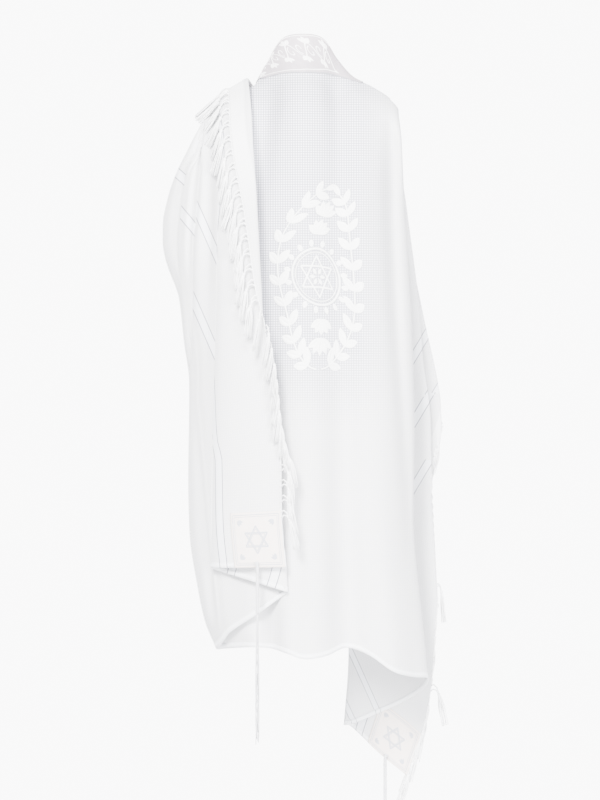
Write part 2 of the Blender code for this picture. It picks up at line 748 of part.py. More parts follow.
def make_fringe(name, shape, column, inner, lean, lift, collection, cutters, finish):
    """Knotted tufts along one short edge, a node for each stretch between two folds."""
    grid, normals, along = shape
    edge, out = edge_frames(grid, column, inner)
    face = normals[:, column]
    for number, (start, end) in enumerate(STRETCHES[name]):
        first, last = nearest(ROWS, start), nearest(ROWS, end)
        rows = slice(first, last + 1)
        strip = bmesh.new()
        add_strip(strip, edge[rows], out[rows], face[rows])
        start, end = ROWS[first] + TUFT_INSET, ROWS[last] - TUFT_INSET
        count = max(2, round((end - start) / TUFT_SPACING) + 1)
        locks = bmesh.new()
        for v in np.linspace(start, end, count):
            away = at_row(out, v)
            fall = lean(v, away)
            fall /= np.linalg.norm(fall)
            root = at_row(edge, v) + away * (SEAM_GAP + 0.5 * STRIP_WIDTH)
            knot = root + away * 0.004 + lift(fall, away, at_row(face, v)) * TUFT_LIFT
            path = [root] + [knot + fall * reach for reach in TUFT_REACH]
            add_lock(locks, path, TUFT_WIDTHS, np.cross(away, at_row(face, v)))
        fused(f"{name}_{number + 1}", strip, locks, collection, cutters, finish)


def at_row(values, v):
    return np.array([np.interp(v, ROWS, values[:, k]) for k in range(3)])


def lean_left(v, away):
    return np.array([smooth_table(LEAN_LEFT, v, column) for column in (1, 2, 3)])


def lift_left(fall, away, face):
    """Tufts that fall across the flap pass over its face."""
    return -face if np.dot(fall, away) < 0 else 0.0 * face


def lean_right(v, away):
    fall = np.array((0.0, 0.0, -1.0)) + away * 0.55
    fall[1] += 0.05 if away[0] > 0 else -0.20
    return fall


def lift_right(fall, away, face):
    return 0.0 * face


def make_tzitzit(name, route, collection, cutters, finish):
    """A corner tassel: a wound and knotted head, then eight free strands."""
    route = np.array(route)
    spans = np.linalg.norm(np.diff(route, axis=0), axis=1)
    along = np.concatenate(([0.0], np.cumsum(spans)))
    hang = route[-1]
    head = bmesh.new()
    path, widths = [], []
    for step in range(HEAD_STEPS + 1):
        reach = step / HEAD_STEPS * KNOTTED_LENGTH
        if reach <= along[-1]:
            point = np.array([np.interp(reach, along, route[:, k]) for k in range(3)])
        else:
            point = hang + np.array((0.0, 0.0, along[-1] - reach))
        path.append(point)
        widths.append(KNOT_WIDTH if step % 3 == 2 else CORD_WIDTH)
    add_lock(head, path, widths, np.array((1.0, 0.0, 0.0)), 0.9)
    strands = bmesh.new()
    root = path[-1] + np.array((0.0, 0.0, 0.004))
    free = TZITZIT_LENGTH - KNOTTED_LENGTH
    for number in range(8):
        angle = number * math.tau / 8
        spread = np.array((math.cos(angle), math.sin(angle) * 0.7, 0.0))
        length = free * (0.90 + 0.1 * ((number * 3) % 8) / 7)
        points = [
            root + spread * 0.0012,
            root + spread * 0.0035 + np.array((0.0, 0.0, -0.3 * length)),
            root + spread * 0.0042 + np.array((0.0, 0.0, -0.7 * length)),
            root + spread * 0.0055 + np.array((0.0, 0.0, -length)),
        ]
        add_lock(strands, points, (0.0018, 0.002, 0.002, 0.0016), np.array((1.0, 0.0, 0.0)), 1.0)
    return fused(name, head, strands, collection, cutters, finish)


def corner_route(shape, rows, column, side, drift):
    """From a corner's hole along its face to the last of rows, and then down."""
    grid, normals, along = shape
    route = [grid[row, column] + normals[row, column] * side * TASSEL_CLEAR for row in rows]
    free = np.array((0.0, drift, -1.0))
    return route + [route[-1] + free * 0.012, route[-1] + free * 0.03]


def make_cloth(shape, collection):
    finish = material("white_wool", (0.86, 0.87, 0.89), 0.85, 0.3)
    return sheet_from_grid("shawl_cloth", shape[0], WALL, collection, finish)


def make_atarah(shape, collection):
    finish = material("white_brocade", (0.88, 0.85, 0.85), 0.45)
    along = shape[2][0]
    middle = MIDDLE_COLUMN
    first = nearest(along[: middle + 1], along[middle] - ATARAH_HALF)
    last = nearest(along, along[middle] + ATARAH_HALF)
    rows = (0, nearest(ROWS, ATARAH_DEPTH))
    return laid_on("atarah", shape, rows, (first, last), 1, collection, finish)


def make_squares(shape, collection, finish):
    """The four corner squares. The two that show lie on the faces that the folds turn out."""
    along = shape[2]
    last = len(ROWS) - 1
    top = nearest(ROWS, SQUARE)
    bottom = nearest(ROWS, CUT_LENGTH - SQUARE)
    for name, rows, left, side in (
        ("square_lower_left", (bottom, last), True, -1),
        ("square_lower_right", (bottom, last), False, 1),
        ("square_upper_left", (0, top), True, -1),
        ("square_upper_right", (0, top), False, 1),
    ):
        distances = along[rows[0]]
        end = len(distances) - 1
        if left:
            columns = (0, nearest(distances, SQUARE))
        else:
            columns = (nearest(distances, distances[end] - SQUARE), end)
        laid_on(name, shape, rows, columns, side, collection, finish)


def main():
    clear_scene()
    collection = collection_named("tallit_prayer_shawl")
    cutters = collection_named("locks_to_join", hidden=True)
    grid, along = cloth_grid()
    shape = (grid, normals_of(grid), along)
    satin = material("cream_satin", (0.88, 0.83, 0.80), 0.35)
    wool = material("white_yarn", (0.92, 0.92, 0.93), 0.8, 0.2)
    make_cloth(shape, collection)
    make_atarah(shape, collection)
    make_squares(shape, collection, satin)
    last = grid.shape[1] - 1
    make_fringe("fringe_left", shape, 0, 1, lean_left, lift_left, collection, cutters, wool)
    make_fringe("fringe_right", shape, last, last - 2, lean_right, lift_right, collection,
                cutters, wool)
    for name, *place in TASSELS:
        route = corner_route(shape, *place)
        make_tzitzit(name, route, collection, cutters, wool)


main()
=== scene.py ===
"""The looks of a tallit prayer shawl as it is worn, seen from behind: fine cloth over the CAD
form, with its weave, stripes, hems, embroidery, fringe and corner tassels. Metres, +Z up."""

import math
import random

import bpy
import numpy as np
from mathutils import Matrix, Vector
from mathutils.bvhtree import BVHTree


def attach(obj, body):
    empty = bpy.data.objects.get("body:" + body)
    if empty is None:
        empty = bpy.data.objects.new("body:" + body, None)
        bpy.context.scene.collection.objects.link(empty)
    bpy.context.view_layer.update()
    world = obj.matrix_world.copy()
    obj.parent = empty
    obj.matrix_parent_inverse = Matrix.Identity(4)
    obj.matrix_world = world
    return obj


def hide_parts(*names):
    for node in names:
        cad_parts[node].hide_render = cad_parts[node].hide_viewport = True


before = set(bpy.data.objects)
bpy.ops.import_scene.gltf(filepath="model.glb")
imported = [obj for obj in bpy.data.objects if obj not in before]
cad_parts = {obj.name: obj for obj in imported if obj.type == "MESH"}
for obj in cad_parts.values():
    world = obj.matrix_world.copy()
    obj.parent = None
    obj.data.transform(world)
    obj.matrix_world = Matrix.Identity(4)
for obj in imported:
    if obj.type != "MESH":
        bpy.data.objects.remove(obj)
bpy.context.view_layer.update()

# The cut of the cloth, in the flat.
CUT_LENGTH = 1.40  # from the neck edge to the hem
HALF_WIDTH = 0.875  # from the middle of the back to each fringed edge
WALL = 0.0014
SEAM_GAP = 0.0003
SATIN_WALL = 0.0012
SQUARE = 0.12
ATARAH_DEPTH = 0.095
ATARAH_HALF = 0.26

# The four tassels and the fringe.
KNOTTED_LENGTH = 0.115
TZITZIT_LENGTH = 0.41
TUFT_SPACING = 0.0325

# Rows run across the cloth, each at one distance from the neck edge.
ROWS = (0.0, 0.03, 0.062, 0.095, 0.12, 0.145, 0.17, 0.195, 0.22, 0.245, 0.27, 0.295, 0.32, 0.35,
        0.39, 0.44, 0.51, 0.60, 0.70, 0.80, 0.90, 1.00, 1.10, 1.20, 1.28, 1.34, 1.40)

# How cloth lies over a shoulder and round the neck: drop along the cloth from the ridge, then
# the depth (minus is the back) and height that it reaches. A negative drop is the front.
SHOULDER = (
    # drop, y, z
    (-0.40, 0.118, -0.352),
    (-0.25, 0.108, -0.204),
    (-0.15, 0.092, -0.106),
    (-0.09, 0.068, -0.052),
    (-0.045, 0.038, -0.017),
    (0.0, 0.0, 0.0),
    (0.045, -0.038, -0.017),
    (0.09, -0.072, -0.046),
    (0.15, -0.104, -0.096),
    (0.25, -0.130, -0.192),
    (0.40, -0.144, -0.340),
    (0.80, -0.152, -0.738),
    (1.40, -0.156, -1.338),
)
NECK = (
    # drop, y, z
    (-0.10, 0.085, -0.020),
    (-0.05, 0.048, -0.004),
    (0.0, 0.0, 0.0),
    (0.05, -0.009, -0.049),
    (0.095, -0.026, -0.091),
    (0.13, -0.050, -0.117),
    (0.18, -0.078, -0.158),
    (0.25, -0.094, -0.226),
    (0.40, -0.104, -0.375),
    (0.80, -0.110, -0.775),
    (1.40, -0.114, -1.375),
)

# The ridge that the back panel hangs from: share of the way from the middle to the side, then
# sideways place, depth, height, and how much cloth lies in front of the ridge.
RIDGE_RIGHT = (
    # share, x, y, z, v_ridge
    (0.0, 0.0, -0.056, 0.094, 0.0),
    (0.15, 0.034, -0.047, 0.090, 0.0),
    (0.26, 0.058, -0.028, 0.070, 0.003),
    (0.36, 0.078, -0.010, 0.037, 0.012),
    (0.48, 0.104, 0.0, 0.004, 0.026),
    (0.66, 0.143, 0.0, -0.015, 0.034),
    (0.84, 0.181, 0.0, -0.037, 0.028),
    (1.0, 0.214, 0.0, -0.070, 0.012),
)
RIDGE_LEFT = (
    # share, x, y, z, v_ridge
    (0.0, 0.0, -0.056, 0.094, 0.0),
    (0.15, -0.036, -0.047, 0.090, 0.0),
    (0.26, -0.062, -0.026, 0.066, 0.006),
    (0.36, -0.082, -0.008, 0.028, 0.030),
    (0.48, -0.108, 0.0, -0.014, 0.070),
    (0.66, -0.145, 0.0, -0.040, 0.115),
    (0.84, -0.178, 0.0, -0.059, 0.150),
    (1.0, -0.207, 0.0, -0.077, 0.180),
)
LEFT_HEIGHT = [(x, z) for share, x, y, z, v_ridge in RIDGE_LEFT]

# Each fold's sideways place at heights down the garment.
FOLD_X = {
    # fold: (height, x) from the shoulder down
    "side_left": (
        (-0.06, -0.205), (-0.11, -0.233), (-0.16, -0.259), (-0.22, -0.289), (-0.27, -0.306),
        (-0.33, -0.317), (-0.37, -0.317), (-0.41, -0.310), (-0.45, -0.296), (-0.49, -0.281),
        (-0.60, -0.268), (-0.69, -0.257), (-0.88, -0.259), (-1.03, -0.256), (-1.15, -0.239),
        (-1.23, -0.222), (-1.30, -0.193),
    ),
    "valley_outer": (
        (-0.10, -0.220), (-0.17, -0.235), (-0.21, -0.260), (-0.24, -0.268), (-0.30, -0.275),
        (-0.37, -0.280), (-0.48, -0.277), (-0.60, -0.262), (-1.30, -0.190),
    ),
    "valley_inner": (
        (-0.10, -0.212), (-0.16, -0.229), (-0.26, -0.237), (-0.37, -0.244), (-0.49, -0.246),
        (-0.58, -0.250), (-0.70, -0.248), (-1.00, -0.240), (-1.30, -0.180),
    ),
    "fold_back": (
        (-0.05, -0.160), (-0.12, -0.160), (-0.25, -0.156), (-0.37, -0.133), (-0.50, -0.104),
        (-0.64, -0.079), (-0.86, -0.056), (-1.17, -0.034),
    ),
    "deep_crease": (
        (-0.05, -0.188), (-0.19, -0.189), (-0.29, -0.192), (-0.50, -0.196), (-0.69, -0.200),
        (-0.86, -0.205), (-1.11, -0.208),
    ),
    "flap_edge": (
        (-0.01, -0.126), (-0.08, -0.118), (-0.19, -0.111), (-0.26, -0.106), (-0.41, -0.098),
        (-0.56, -0.090), (-0.68, -0.080), (-0.81, -0.069), (-0.85, -0.057), (-0.99, -0.055),
        (-1.11, -0.045),
    ),
    "side_right": (
        (-0.07, 0.214), (-0.11, 0.218), (-0.28, 0.229), (-0.46, 0.240), (-0.62, 0.248),
        (-0.80, 0.251), (-0.98, 0.249), (-1.18, 0.264), (-1.36, 0.283),
    ),
    "front_left": (
        (-0.07, 0.168), (-0.20, 0.180), (-0.48, 0.176), (-0.60, 0.158), (-0.73, 0.130),
        (-0.95, 0.096), (-1.10, 0.094), (-1.29, 0.104), (-1.47, 0.094),
    ),
    "front_right": (
        (-0.16, 0.212), (-0.30, 0.236), (-0.52, 0.264), (-0.63, 0.272), (-0.77, 0.289),
        (-0.87, 0.291), (-0.97, 0.296), (-1.12, 0.303), (-1.40, 0.318), (-1.66, 0.330),
    ),
    "second_left": (
        (-0.20, 0.180), (-0.33, 0.190), (-0.55, 0.212), (-0.67, 0.234), (-0.80, 0.255),
        (-0.90, 0.260), (-1.20, 0.275),
    ),
    "second_right": (
        (-0.20, 0.222), (-0.27, 0.228), (-0.40, 0.246), (-0.52, 0.270), (-0.57, 0.281),
        (-0.64, 0.297), (-0.69, 0.307), (-0.74, 0.314), (-1.20, 0.330),
    ),
    "third_left": ((-0.30, -0.060), (-0.60, 0.000), (-0.90, 0.240), (-1.30, 0.280)),
}

# How far the flap's own edge is turned back toward the viewer, by height.
TURNED_BACK = (
    (-0.03, 0.044), (-0.10, 0.048), (-0.16, 0.045), (-0.23, 0.037), (-0.30, 0.029),
    (-0.36, 0.023), (-0.42, 0.018), (-0.48, 0.012), (-0.57, -0.003), (-0.70, -0.006),
)

# Folds over the left shoulder: cloth in front of the ridge, ridge height, hem height.
LEFT_HANG = {
    # fold: (v_ridge, z_ridge, z_hem)
    "side_left": (0.180, -0.069, -1.294),
    "valley_outer": (0.195, -0.061, -1.280),
    "valley_inner": (0.215, -0.053, -1.262),
    "fold_back": (0.255, -0.042, -1.163),
    "deep_crease": (0.295, -0.056, -1.109),
    "flap_edge": (0.313, -0.022, -1.106),
}

# Folds that hang in front of the right shoulder: heights of the neck edge and of the hem.
RIGHT_HANG = {
    # fold: (z_top, z_hem)
    "front_left": (-0.125, -1.4715),
    "front_right": (-0.160, -1.660),
    "second_left": (-0.200, -1.700),
    "second_right": (-0.270, -1.720),
    "third_left": (-0.290, -1.740),
}

# How far forward the first of those panels hangs, by height and by sideways place.
FRONT_DEPTH = (
    # z, y
    (-0.07, 0.074), (-0.20, 0.088), (-0.50, 0.095), (-1.00, 0.102), (-1.70, 0.110),
)
FRONT_ROUND = (
    # x, y
    (-0.10, 0.020), (0.0, 0.032), (0.10, 0.028), (0.20, 0.0), (0.34, -0.042),
)

# The back panel's hem, from the left silhouette to the right one.
HEM_HEIGHT = (
    # x, z
    (-0.194, -1.294), (-0.164, -1.291), (-0.108, -1.287), (-0.064, -1.290), (-0.028, -1.303),
    (0.005, -1.313), (0.030, -1.313), (0.061, -1.302), (0.085, -1.292), (0.109, -1.288),
    (0.141, -1.298), (0.164, -1.315), (0.194, -1.337), (0.222, -1.349), (0.257, -1.357),
    (0.284, -1.361),
)

# How far each layer of the left stack lies outside the back panel, when it hangs free.
LAYER_STEP = 0.0125
FOLD_NOSE = 0.009
STRIP_LEAST = 0.007  # the flap's edge stands off its face where less than this is turned back
LAYERS = {"strip": 4.0, "flap": 3.0, "under": 2.0, "bias": 1.0, "back": 0.0}
RIDGE_SHARE = 0.56  # of that spacing, where the layers lie on the shoulder


def smooth_table(table, at, column=1):
    """A smooth curve through a table's rows, held level past its ends."""
    knots = [row[0] for row in table]
    values = [row[column] for row in table]
    if knots[0] > knots[-1]:
        knots, values = knots[::-1], values[::-1]
    if at <= knots[0]:
        return values[0]
    if at >= knots[-1]:
        return values[-1]
    i = int(np.searchsorted(knots, at)) - 1
    span = knots[i + 1] - knots[i]
    chord = (values[i + 1] - values[i]) / span

    def slope(j):
        if j == 0 or j == len(knots) - 1:
            return None
        before = (values[j] - values[j - 1]) / (knots[j] - knots[j - 1])
        after = (values[j + 1] - values[j]) / (knots[j + 1] - knots[j])
        if before * after <= 0:
            return 0.0
        return 2 * before * after / (before + after)

    start, end = slope(i), slope(i + 1)
    start = chord if start is None else start
    end = chord if end is None else end
    t = (at - knots[i]) / span
    return (
        (2 * t**3 - 3 * t**2 + 1) * values[i]
        + (t**3 - 2 * t**2 + t) * span * start
        + (3 * t**2 - 2 * t**3) * values[i + 1]
        + (t**3 - t**2) * span * end
    )


def ease(low, high, at):
    t = min(max((at - low) / (high - low), 0.0), 1.0)
    return t * t * (3 - 2 * t)


def mix(a, b, share):
    return a + (b - a) * share


def over_shoulder(drop, neck):
    """Depth and height reached at a drop along the cloth, between the shoulder and the neck."""
    y = mix(smooth_table(SHOULDER, drop, 1), smooth_table(NECK, drop, 1), neck)
    z = mix(smooth_table(SHOULDER, drop, 2), smooth_table(NECK, drop, 2), neck)
    return y, z


def outward(drop, neck):
    """The direction, across the cloth, in which the layers stack up."""
    y0, z0 = over_shoulder(drop - 0.004, neck)
    y1, z1 = over_shoulder(drop + 0.004, neck)
    length = math.hypot(y1 - y0, z1 - z0)
    return (z1 - z0) / length, -(y1 - y0) / length


def hang_z(drop, z_ridge, z_hem, drop_hem, neck=0.0):
    """Height at a drop from the ridge, drawn out so that the hem meets its own height."""
    y, z = over_shoulder(drop, neck)
    if drop <= 0:
        return y, z_ridge + z
    reach = (z_ridge - z_hem) / -over_shoulder(drop_hem, neck)[1]
    return y, z_ridge + z * mix(1.0, reach, ease(0.0, 0.3, drop))


def side_turn(share, drop):
    """How much of the back's depth is left as the panel turns round the wearer's side."""
    return 1 - abs(share) ** 4 * 0.86 * ease(0.0, 0.28, drop)


def back_point(share, v):
    """A point of the back panel: share is -1 at the left fold, 0 in the middle, 1 at the right."""
    ridge = RIDGE_RIGHT if share >= 0 else RIDGE_LEFT
    side = "side_right" if share >= 0 else "side_left"
    across = abs(share)
    x_ridge, y_ridge, z_ridge, v_ridge = (smooth_table(ridge, across, c) for c in (1, 2, 3, 4))
    neck = 1 - ease(0.24, 0.56, across)
    drop = v - v_ridge
    x_hem = smooth_table(FOLD_X[side], -1.5) * across
    z_hem = smooth_table(HEM_HEIGHT, x_hem)
    y, z = hang_z(drop, z_ridge, z_hem, CUT_LENGTH - v_ridge, neck)
    x_free = smooth_table(FOLD_X[side], min(z, -0.07)) * across
    x = mix(x_ridge, x_free, ease(0.0, 0.12, drop))
    if drop < 0:
        x = x_ridge * (1 + 0.3 * drop)
    if share < 0:
        z += (smooth_table(LEFT_HEIGHT, x) - z_ridge) * (1 - ease(0.15, 0.5, drop))
    y = (y + y_ridge) * side_turn(share, drop)
    y += hem_wave(x) * ease(0.45, 1.40, v)
    return np.array((x, y, z))


def hem_wave(x):
    """The soft flutes of the lower back, deepest at the hem."""
    return 0.020 * math.sin((x - 0.045) / 0.135 * math.pi) * (1 - ease(0.16, 0.27, abs(x)))


def stacked_point(x, v, fold_a, fold_b, share, layer):
    """A point of a layer that hangs from the left shoulder, between two of its folds."""
    v_ridge, z_ridge, z_hem = (
        mix(a, b, share) for a, b in zip(LEFT_HANG[fold_a], LEFT_HANG[fold_b])
    )
    drop = v - v_ridge
    y, z = hang_z(drop, z_ridge, z_hem, CUT_LENGTH - v_ridge)
    z += (smooth_table(LEFT_HEIGHT, x) - z_ridge) * (1 - ease(0.15, 0.5, drop))
    side = smooth_table(FOLD_X["side_left"], min(z, -0.07))
    y *= side_turn(min(abs(x / side), 1.0), drop)
    y += hem_wave(x) * ease(0.45, 1.40, v) * 0.4
    away = layer * LAYER_STEP * mix(RIDGE_SHARE, 1.0, ease(0.03, 0.35, abs(drop)))
    out_y, out_z = outward(drop, 0.0)
    return np.array((x, y + away * out_y, z + away * out_z))


def left_height(fold, v):
    v_ridge, z_ridge, z_hem = LEFT_HANG[fold]
    return hang_z(v - v_ridge, z_ridge, z_hem, CUT_LENGTH - v_ridge)[1]


def left_x(fold, v):
    """A left fold's sideways place in a row. In front of the ridge the folds spread a little."""
    drop = v - LEFT_HANG[fold][0]
    if drop >= 0:
        return smooth_table(FOLD_X[fold], left_height(fold, v))
    x = FOLD_X[fold][0][1]
    spread = {"flap_edge": 0.26, "deep_crease": -0.10, "fold_back": 0.0}.get(fold, -0.04)
    return x - drop * spread


def turned_back(v):
    """Width of the strip that the flap's edge turns back, and none at the front corner."""
    width = smooth_table(TURNED_BACK, left_height("flap_edge", v))
    return mix(-0.004, width, ease(0.13, 0.28, v))


def row_left(v):
    """Way-points of a row from the left fringed edge to the left silhouette, and the number of
    the way-point at each fold."""
    x = {fold: left_x(fold, v) for fold in LEFT_HANG}
    x["valley_outer"] = max(x["valley_outer"], x["side_left"] + 0.012)
    x["valley_inner"] = max(x["valley_inner"], x["valley_outer"] + 0.012)
    x["fold_back"] = max(x["fold_back"], x["deep_crease"] + 0.016, x["valley_inner"] + 0.022)
    points, folds = [], {}

    def add(at, fold_a, fold_b, share, layer, name=None):
        if name:
            folds[name] = len(points)
        points.append(stacked_point(at, v, fold_a, fold_b, share, layer))

    strip = turned_back(v)
    stand = math.sqrt(max(STRIP_LEAST**2 - strip**2, 0.0)) / LAYER_STEP
    lift = LAYERS["flap"] + ease(0.0, 0.012, strip) + stand
    edge = x["flap_edge"]
    crease = x["deep_crease"]
    under = x["fold_back"]
    add(edge - strip, "flap_edge", "flap_edge", 0, lift, "edge")
    if strip > 0.012:
        add(edge - strip * 0.5, "flap_edge", "flap_edge", 0, lift)
    if strip > 0.002:
        add(edge - 0.004, "flap_edge", "flap_edge", 0, mix(LAYERS["flap"], lift, 0.9))
    add(edge, "flap_edge", "flap_edge", 0, mix(LAYERS["flap"], lift, 0.5), "flap_edge")
    for share in (0.08, 0.3, 0.5, 0.7):
        at = mix(edge, crease, share)
        swell = 0.35 * math.sin(share * math.pi) * ease(0.05, 0.25, abs(v - 0.3))
        add(at, "flap_edge", "deep_crease", share, LAYERS["flap"] + swell)
    nose = min(FOLD_NOSE, 0.3 * (under - crease))
    add(crease + nose, "flap_edge", "deep_crease", 0.94, LAYERS["flap"])
    add(crease, "deep_crease", "deep_crease", 0, 2.5, "deep_crease")
    add(crease + nose, "deep_crease", "fold_back", 0.06, LAYERS["under"])
    if under - crease > 0.05:
        add(mix(crease, under, 0.5), "deep_crease", "fold_back", 0.5, LAYERS["under"])
    add(under - nose, "deep_crease", "fold_back", 0.94, LAYERS["under"])
    add(under, "fold_back", "fold_back", 0, 1.5, "fold_back")
    nose = min(FOLD_NOSE, 0.3 * (under - x["valley_inner"]))
    add(under - nose, "fold_back", "valley_inner", 0.06, LAYERS["bias"])
    open_now = ease(0.012, 0.03, x["valley_outer"] - x["side_left"])
    bulge = 1.0 + 0.9 * ease(0.02, 0.06, x["valley_inner"] - x["valley_outer"])
    if under - x["valley_inner"] > 0.05:
        at = mix(under, x["valley_inner"], 0.45)
        add(at, "fold_back", "valley_inner", 0.45, 1.0)
    add(x["valley_inner"] + nose, "fold_back", "valley_inner", 0.9, bulge)
    add(x["valley_inner"], "valley_inner", "valley_inner", 0, 0.85, "valley_inner")
    add(mix(x["valley_inner"], x["valley_outer"], 0.5), "valley_inner", "valley_outer", 0.5, bulge)
    add(x["valley_outer"], "valley_outer", "valley_outer", 0, mix(1.0, 0.6, open_now), "valley_outer")
    add(mix(x["valley_outer"], x["side_left"], 0.6), "valley_outer", "side_left", 0.6,
        mix(1.0, 1.5, open_now))
    tip = back_point(-1.0, v)
    tip_out = stacked_point(x["side_left"], v, "side_left", "side_left", 0, 0.5)
    folds["side_left"] = len(points)
    points.append(np.array((x["side_left"], tip_out[1], tip[2])))
    return points, folds


def front_point(x, z, layer):
    """A point of a panel in front of the right shoulder. Each panel keeps to its own layer."""
    y = smooth_table(FRONT_DEPTH, z) + smooth_table(FRONT_ROUND, x) + layer * LAYER_STEP
    return np.array((x, y, z))


def row_right(v):
    """Way-points of a row beyond the right silhouette: the cascade in front of the wearer."""
    points, folds = [], {}
    side = back_point(1.0, v)
    heights = {fold: mix(*hang, v / CUT_LENGTH) for fold, hang in RIGHT_HANG.items()}
    tips = {fold: (smooth_table(FOLD_X[fold], z), z) for fold, z in heights.items()}
    x, z = tips["front_left"]
    first = front_point(x + FOLD_NOSE, z, 0.0)
    for share in (0.25, 0.5, 0.75):
        turn = share * math.pi / 2
        x = mix(side[0], first[0], 1 - math.cos(turn))
        y = mix(side[1], first[1], math.sin(turn))
        points.append(np.array((x, y, mix(side[2], first[2], share))))
    names = list(tips)
    for number, name in enumerate(names):
        x, z = tips[name]
        width = min(abs(x - tips[other][0]) for other in names[max(number - 1, 0):number + 2]
                    if other != name)
        nose = min(FOLD_NOSE, 0.3 * width) * (-1 if name.endswith("right") else 1)
        points.append(front_point(x + nose, z, number))
        folds[name] = len(points)
        points.append(front_point(x, z, number + 0.5))
        points.append(front_point(x + nose, z, number + 1))
        if number + 1 < len(names):
            x_next, z_next = tips[names[number + 1]]
            for share in (0.35, 0.65):
                points.append(front_point(mix(x, x_next, share), mix(z, z_next, share), number + 1))
        else:
            points.append(front_point(x + 0.12, z - 0.05, number + 1))
    return points, folds


def blend(a, b, start, end, t):
    return (a * (end - t) + b * (t - start)) / (end - start)


def spline(points, steps):
    """A centripetal Catmull-Rom curve through the way-points."""
    p = np.array(points)
    p = np.vstack((2 * p[0] - p[1], p, 2 * p[-1] - p[-2]))
    curve = []
    for i in range(1, len(p) - 2):
        knots = [0.0]
        for a, b in zip(p[i - 1 : i + 2], p[i : i + 3]):
            knots.append(knots[-1] + max(np.linalg.norm(b - a), 1e-5) ** 0.5)
        for t in np.linspace(knots[1], knots[2], steps, endpoint=False):
            legs = [blend(p[i + j - 1], p[i + j], knots[j], knots[j + 1], t) for j in range(3)]
            before = blend(legs[0], legs[1], knots[0], knots[2], t)
            after = blend(legs[1], legs[2], knots[1], knots[3], t)
            curve.append(blend(before, after, knots[1], knots[2], t))
    curve.append(p[-2])
    return np.array(curve)


SPLINE_STEPS = 10
BACK_SHARES = (-0.88, -0.72, -0.54, -0.36, -0.18, 0.0, 0.18, 0.36, 0.54, 0.72, 0.88, 1.0)


def row_curve(v):
    """A whole row as a fine curve, with the distance along it and the distance at each fold."""
    points, folds = row_left(v)
    for share in BACK_SHARES:
        if share == 0.0:
            folds["middle"] = len(points)
        if share == 1.0:
            folds["side_right"] = len(points)
        points.append(back_point(share, v))
    beyond, right_folds = row_right(v)
    for name, index in right_folds.items():
        folds[name] = index + len(points)
    points.extend(beyond)
    curve = spline(points, SPLINE_STEPS)
    along = np.concatenate(([0.0], np.cumsum(np.linalg.norm(np.diff(curve, axis=0), axis=1))))
    places = {name: along[index * SPLINE_STEPS] for name, index in folds.items()}
    return curve, along, places


# Columns of the cloth: from each fold to the next, how many, and how close the columns beside
# a fold stand to it.
BESIDE_FOLD = 0.008
COLUMNS_LEFT = (
    # from, to, columns between
    ("edge", "flap_edge", 2),
    ("flap_edge", "deep_crease", 5),
    ("deep_crease", "fold_back", 4),
    ("fold_back", "valley_inner", 4),
    ("valley_inner", "valley_outer", 2),
    ("valley_outer", "side_left", 2),
    ("side_left", "middle", 9),
    ("middle", "side_right", 9),
)
COLUMNS_RIGHT = (
    ("side_right", "front_left", 6),
    ("front_left", "front_right", 6),
    ("front_right", "second_left", 4),
    ("second_left", "second_right", 4),
    ("second_right", "end", 4),
)
CLOSEST_COLUMNS = 0.004

# The upper tassels: the rows that each follows from its hole, the hole's column, the face that
# it lies on, and how far it drifts from that face as it hangs.
UPPER_TASSELS = {
    # name: rows, column, side, drift
    "tzitzit_upper_left": ((2, 1, 0), 3, -1, 0.04),
    "tzitzit_upper_right": ((1, 2), -2, 1, 0.20),
}
TASSEL_CLEAR = 0.0064  # from the middle of the cloth to the middle of the tassel's head
SHARP = {"flap_edge", "deep_crease", "fold_back", "side_left", "front_left", "front_right",
         "second_left", "second_right"}


def between(start, end, count, sharp_start, sharp_end):
    """Distances of the columns after start and before end, with one close to a sharp fold."""
    span = end - start
    near = min(BESIDE_FOLD, span / (count + 1))
    low = start + (near if sharp_start else span / (count + 1))
    high = end - (near if sharp_end else span / (count + 1))
    return list(np.linspace(low, high, count))


def column_places(places):
    """Distances along a row at which its columns stand, from the left edge to the right."""
    stations = dict(places)
    end = places["middle"] + HALF_WIDTH
    stations["end"] = end
    remaining = 0
    for start, stop, count in reversed(COLUMNS_RIGHT):
        remaining += count + 1
        if start != "side_right":
            latest = end - remaining * CLOSEST_COLUMNS
            if stations[start] > latest:
                stations[start] = latest
                if start == "front_right":
                    stations["square_line"] = end - SQUARE
    found = [0.0]
    for start, stop, count in COLUMNS_LEFT + COLUMNS_RIGHT:
        a, b = stations[start], stations[stop]
        if stop == "front_right" and "square_line" in stations:
            line = stations["square_line"]
            found += between(a, line, count - 2, True, False) + [line, mix(line, b, 0.5), b]
            continue
        if stop == "end":
            near = min(BESIDE_FOLD, (b - a) / (count + 1))
            line = max(end - SQUARE, a + 2 * near)
            found += [a + near] + list(np.linspace(line, b, count))
            continue
        found += between(a, b, count, start in SHARP, stop in SHARP) + [b]
    return np.array(found)


def cloth_grid(rows=ROWS):
    """Points of the cloth, a row for each of rows, and each row's distances from its ends."""
    grid, along_rows = [], []
    for v in rows:
        curve, along, places = row_curve(v)
        columns = column_places(places)
        grid.append([[np.interp(c, along, curve[:, k]) for k in range(3)] for c in columns])
        along_rows.append(columns)
    return np.array(grid), np.array(along_rows)


def normals_of(grid):
    """Unit normals of the grid's outer face, the one turned away from the wearer's back."""
    across = np.gradient(grid, axis=1)
    down = np.gradient(grid, axis=0)
    normal = np.cross(down, across)
    return normal / np.linalg.norm(normal, axis=2, keepdims=True)


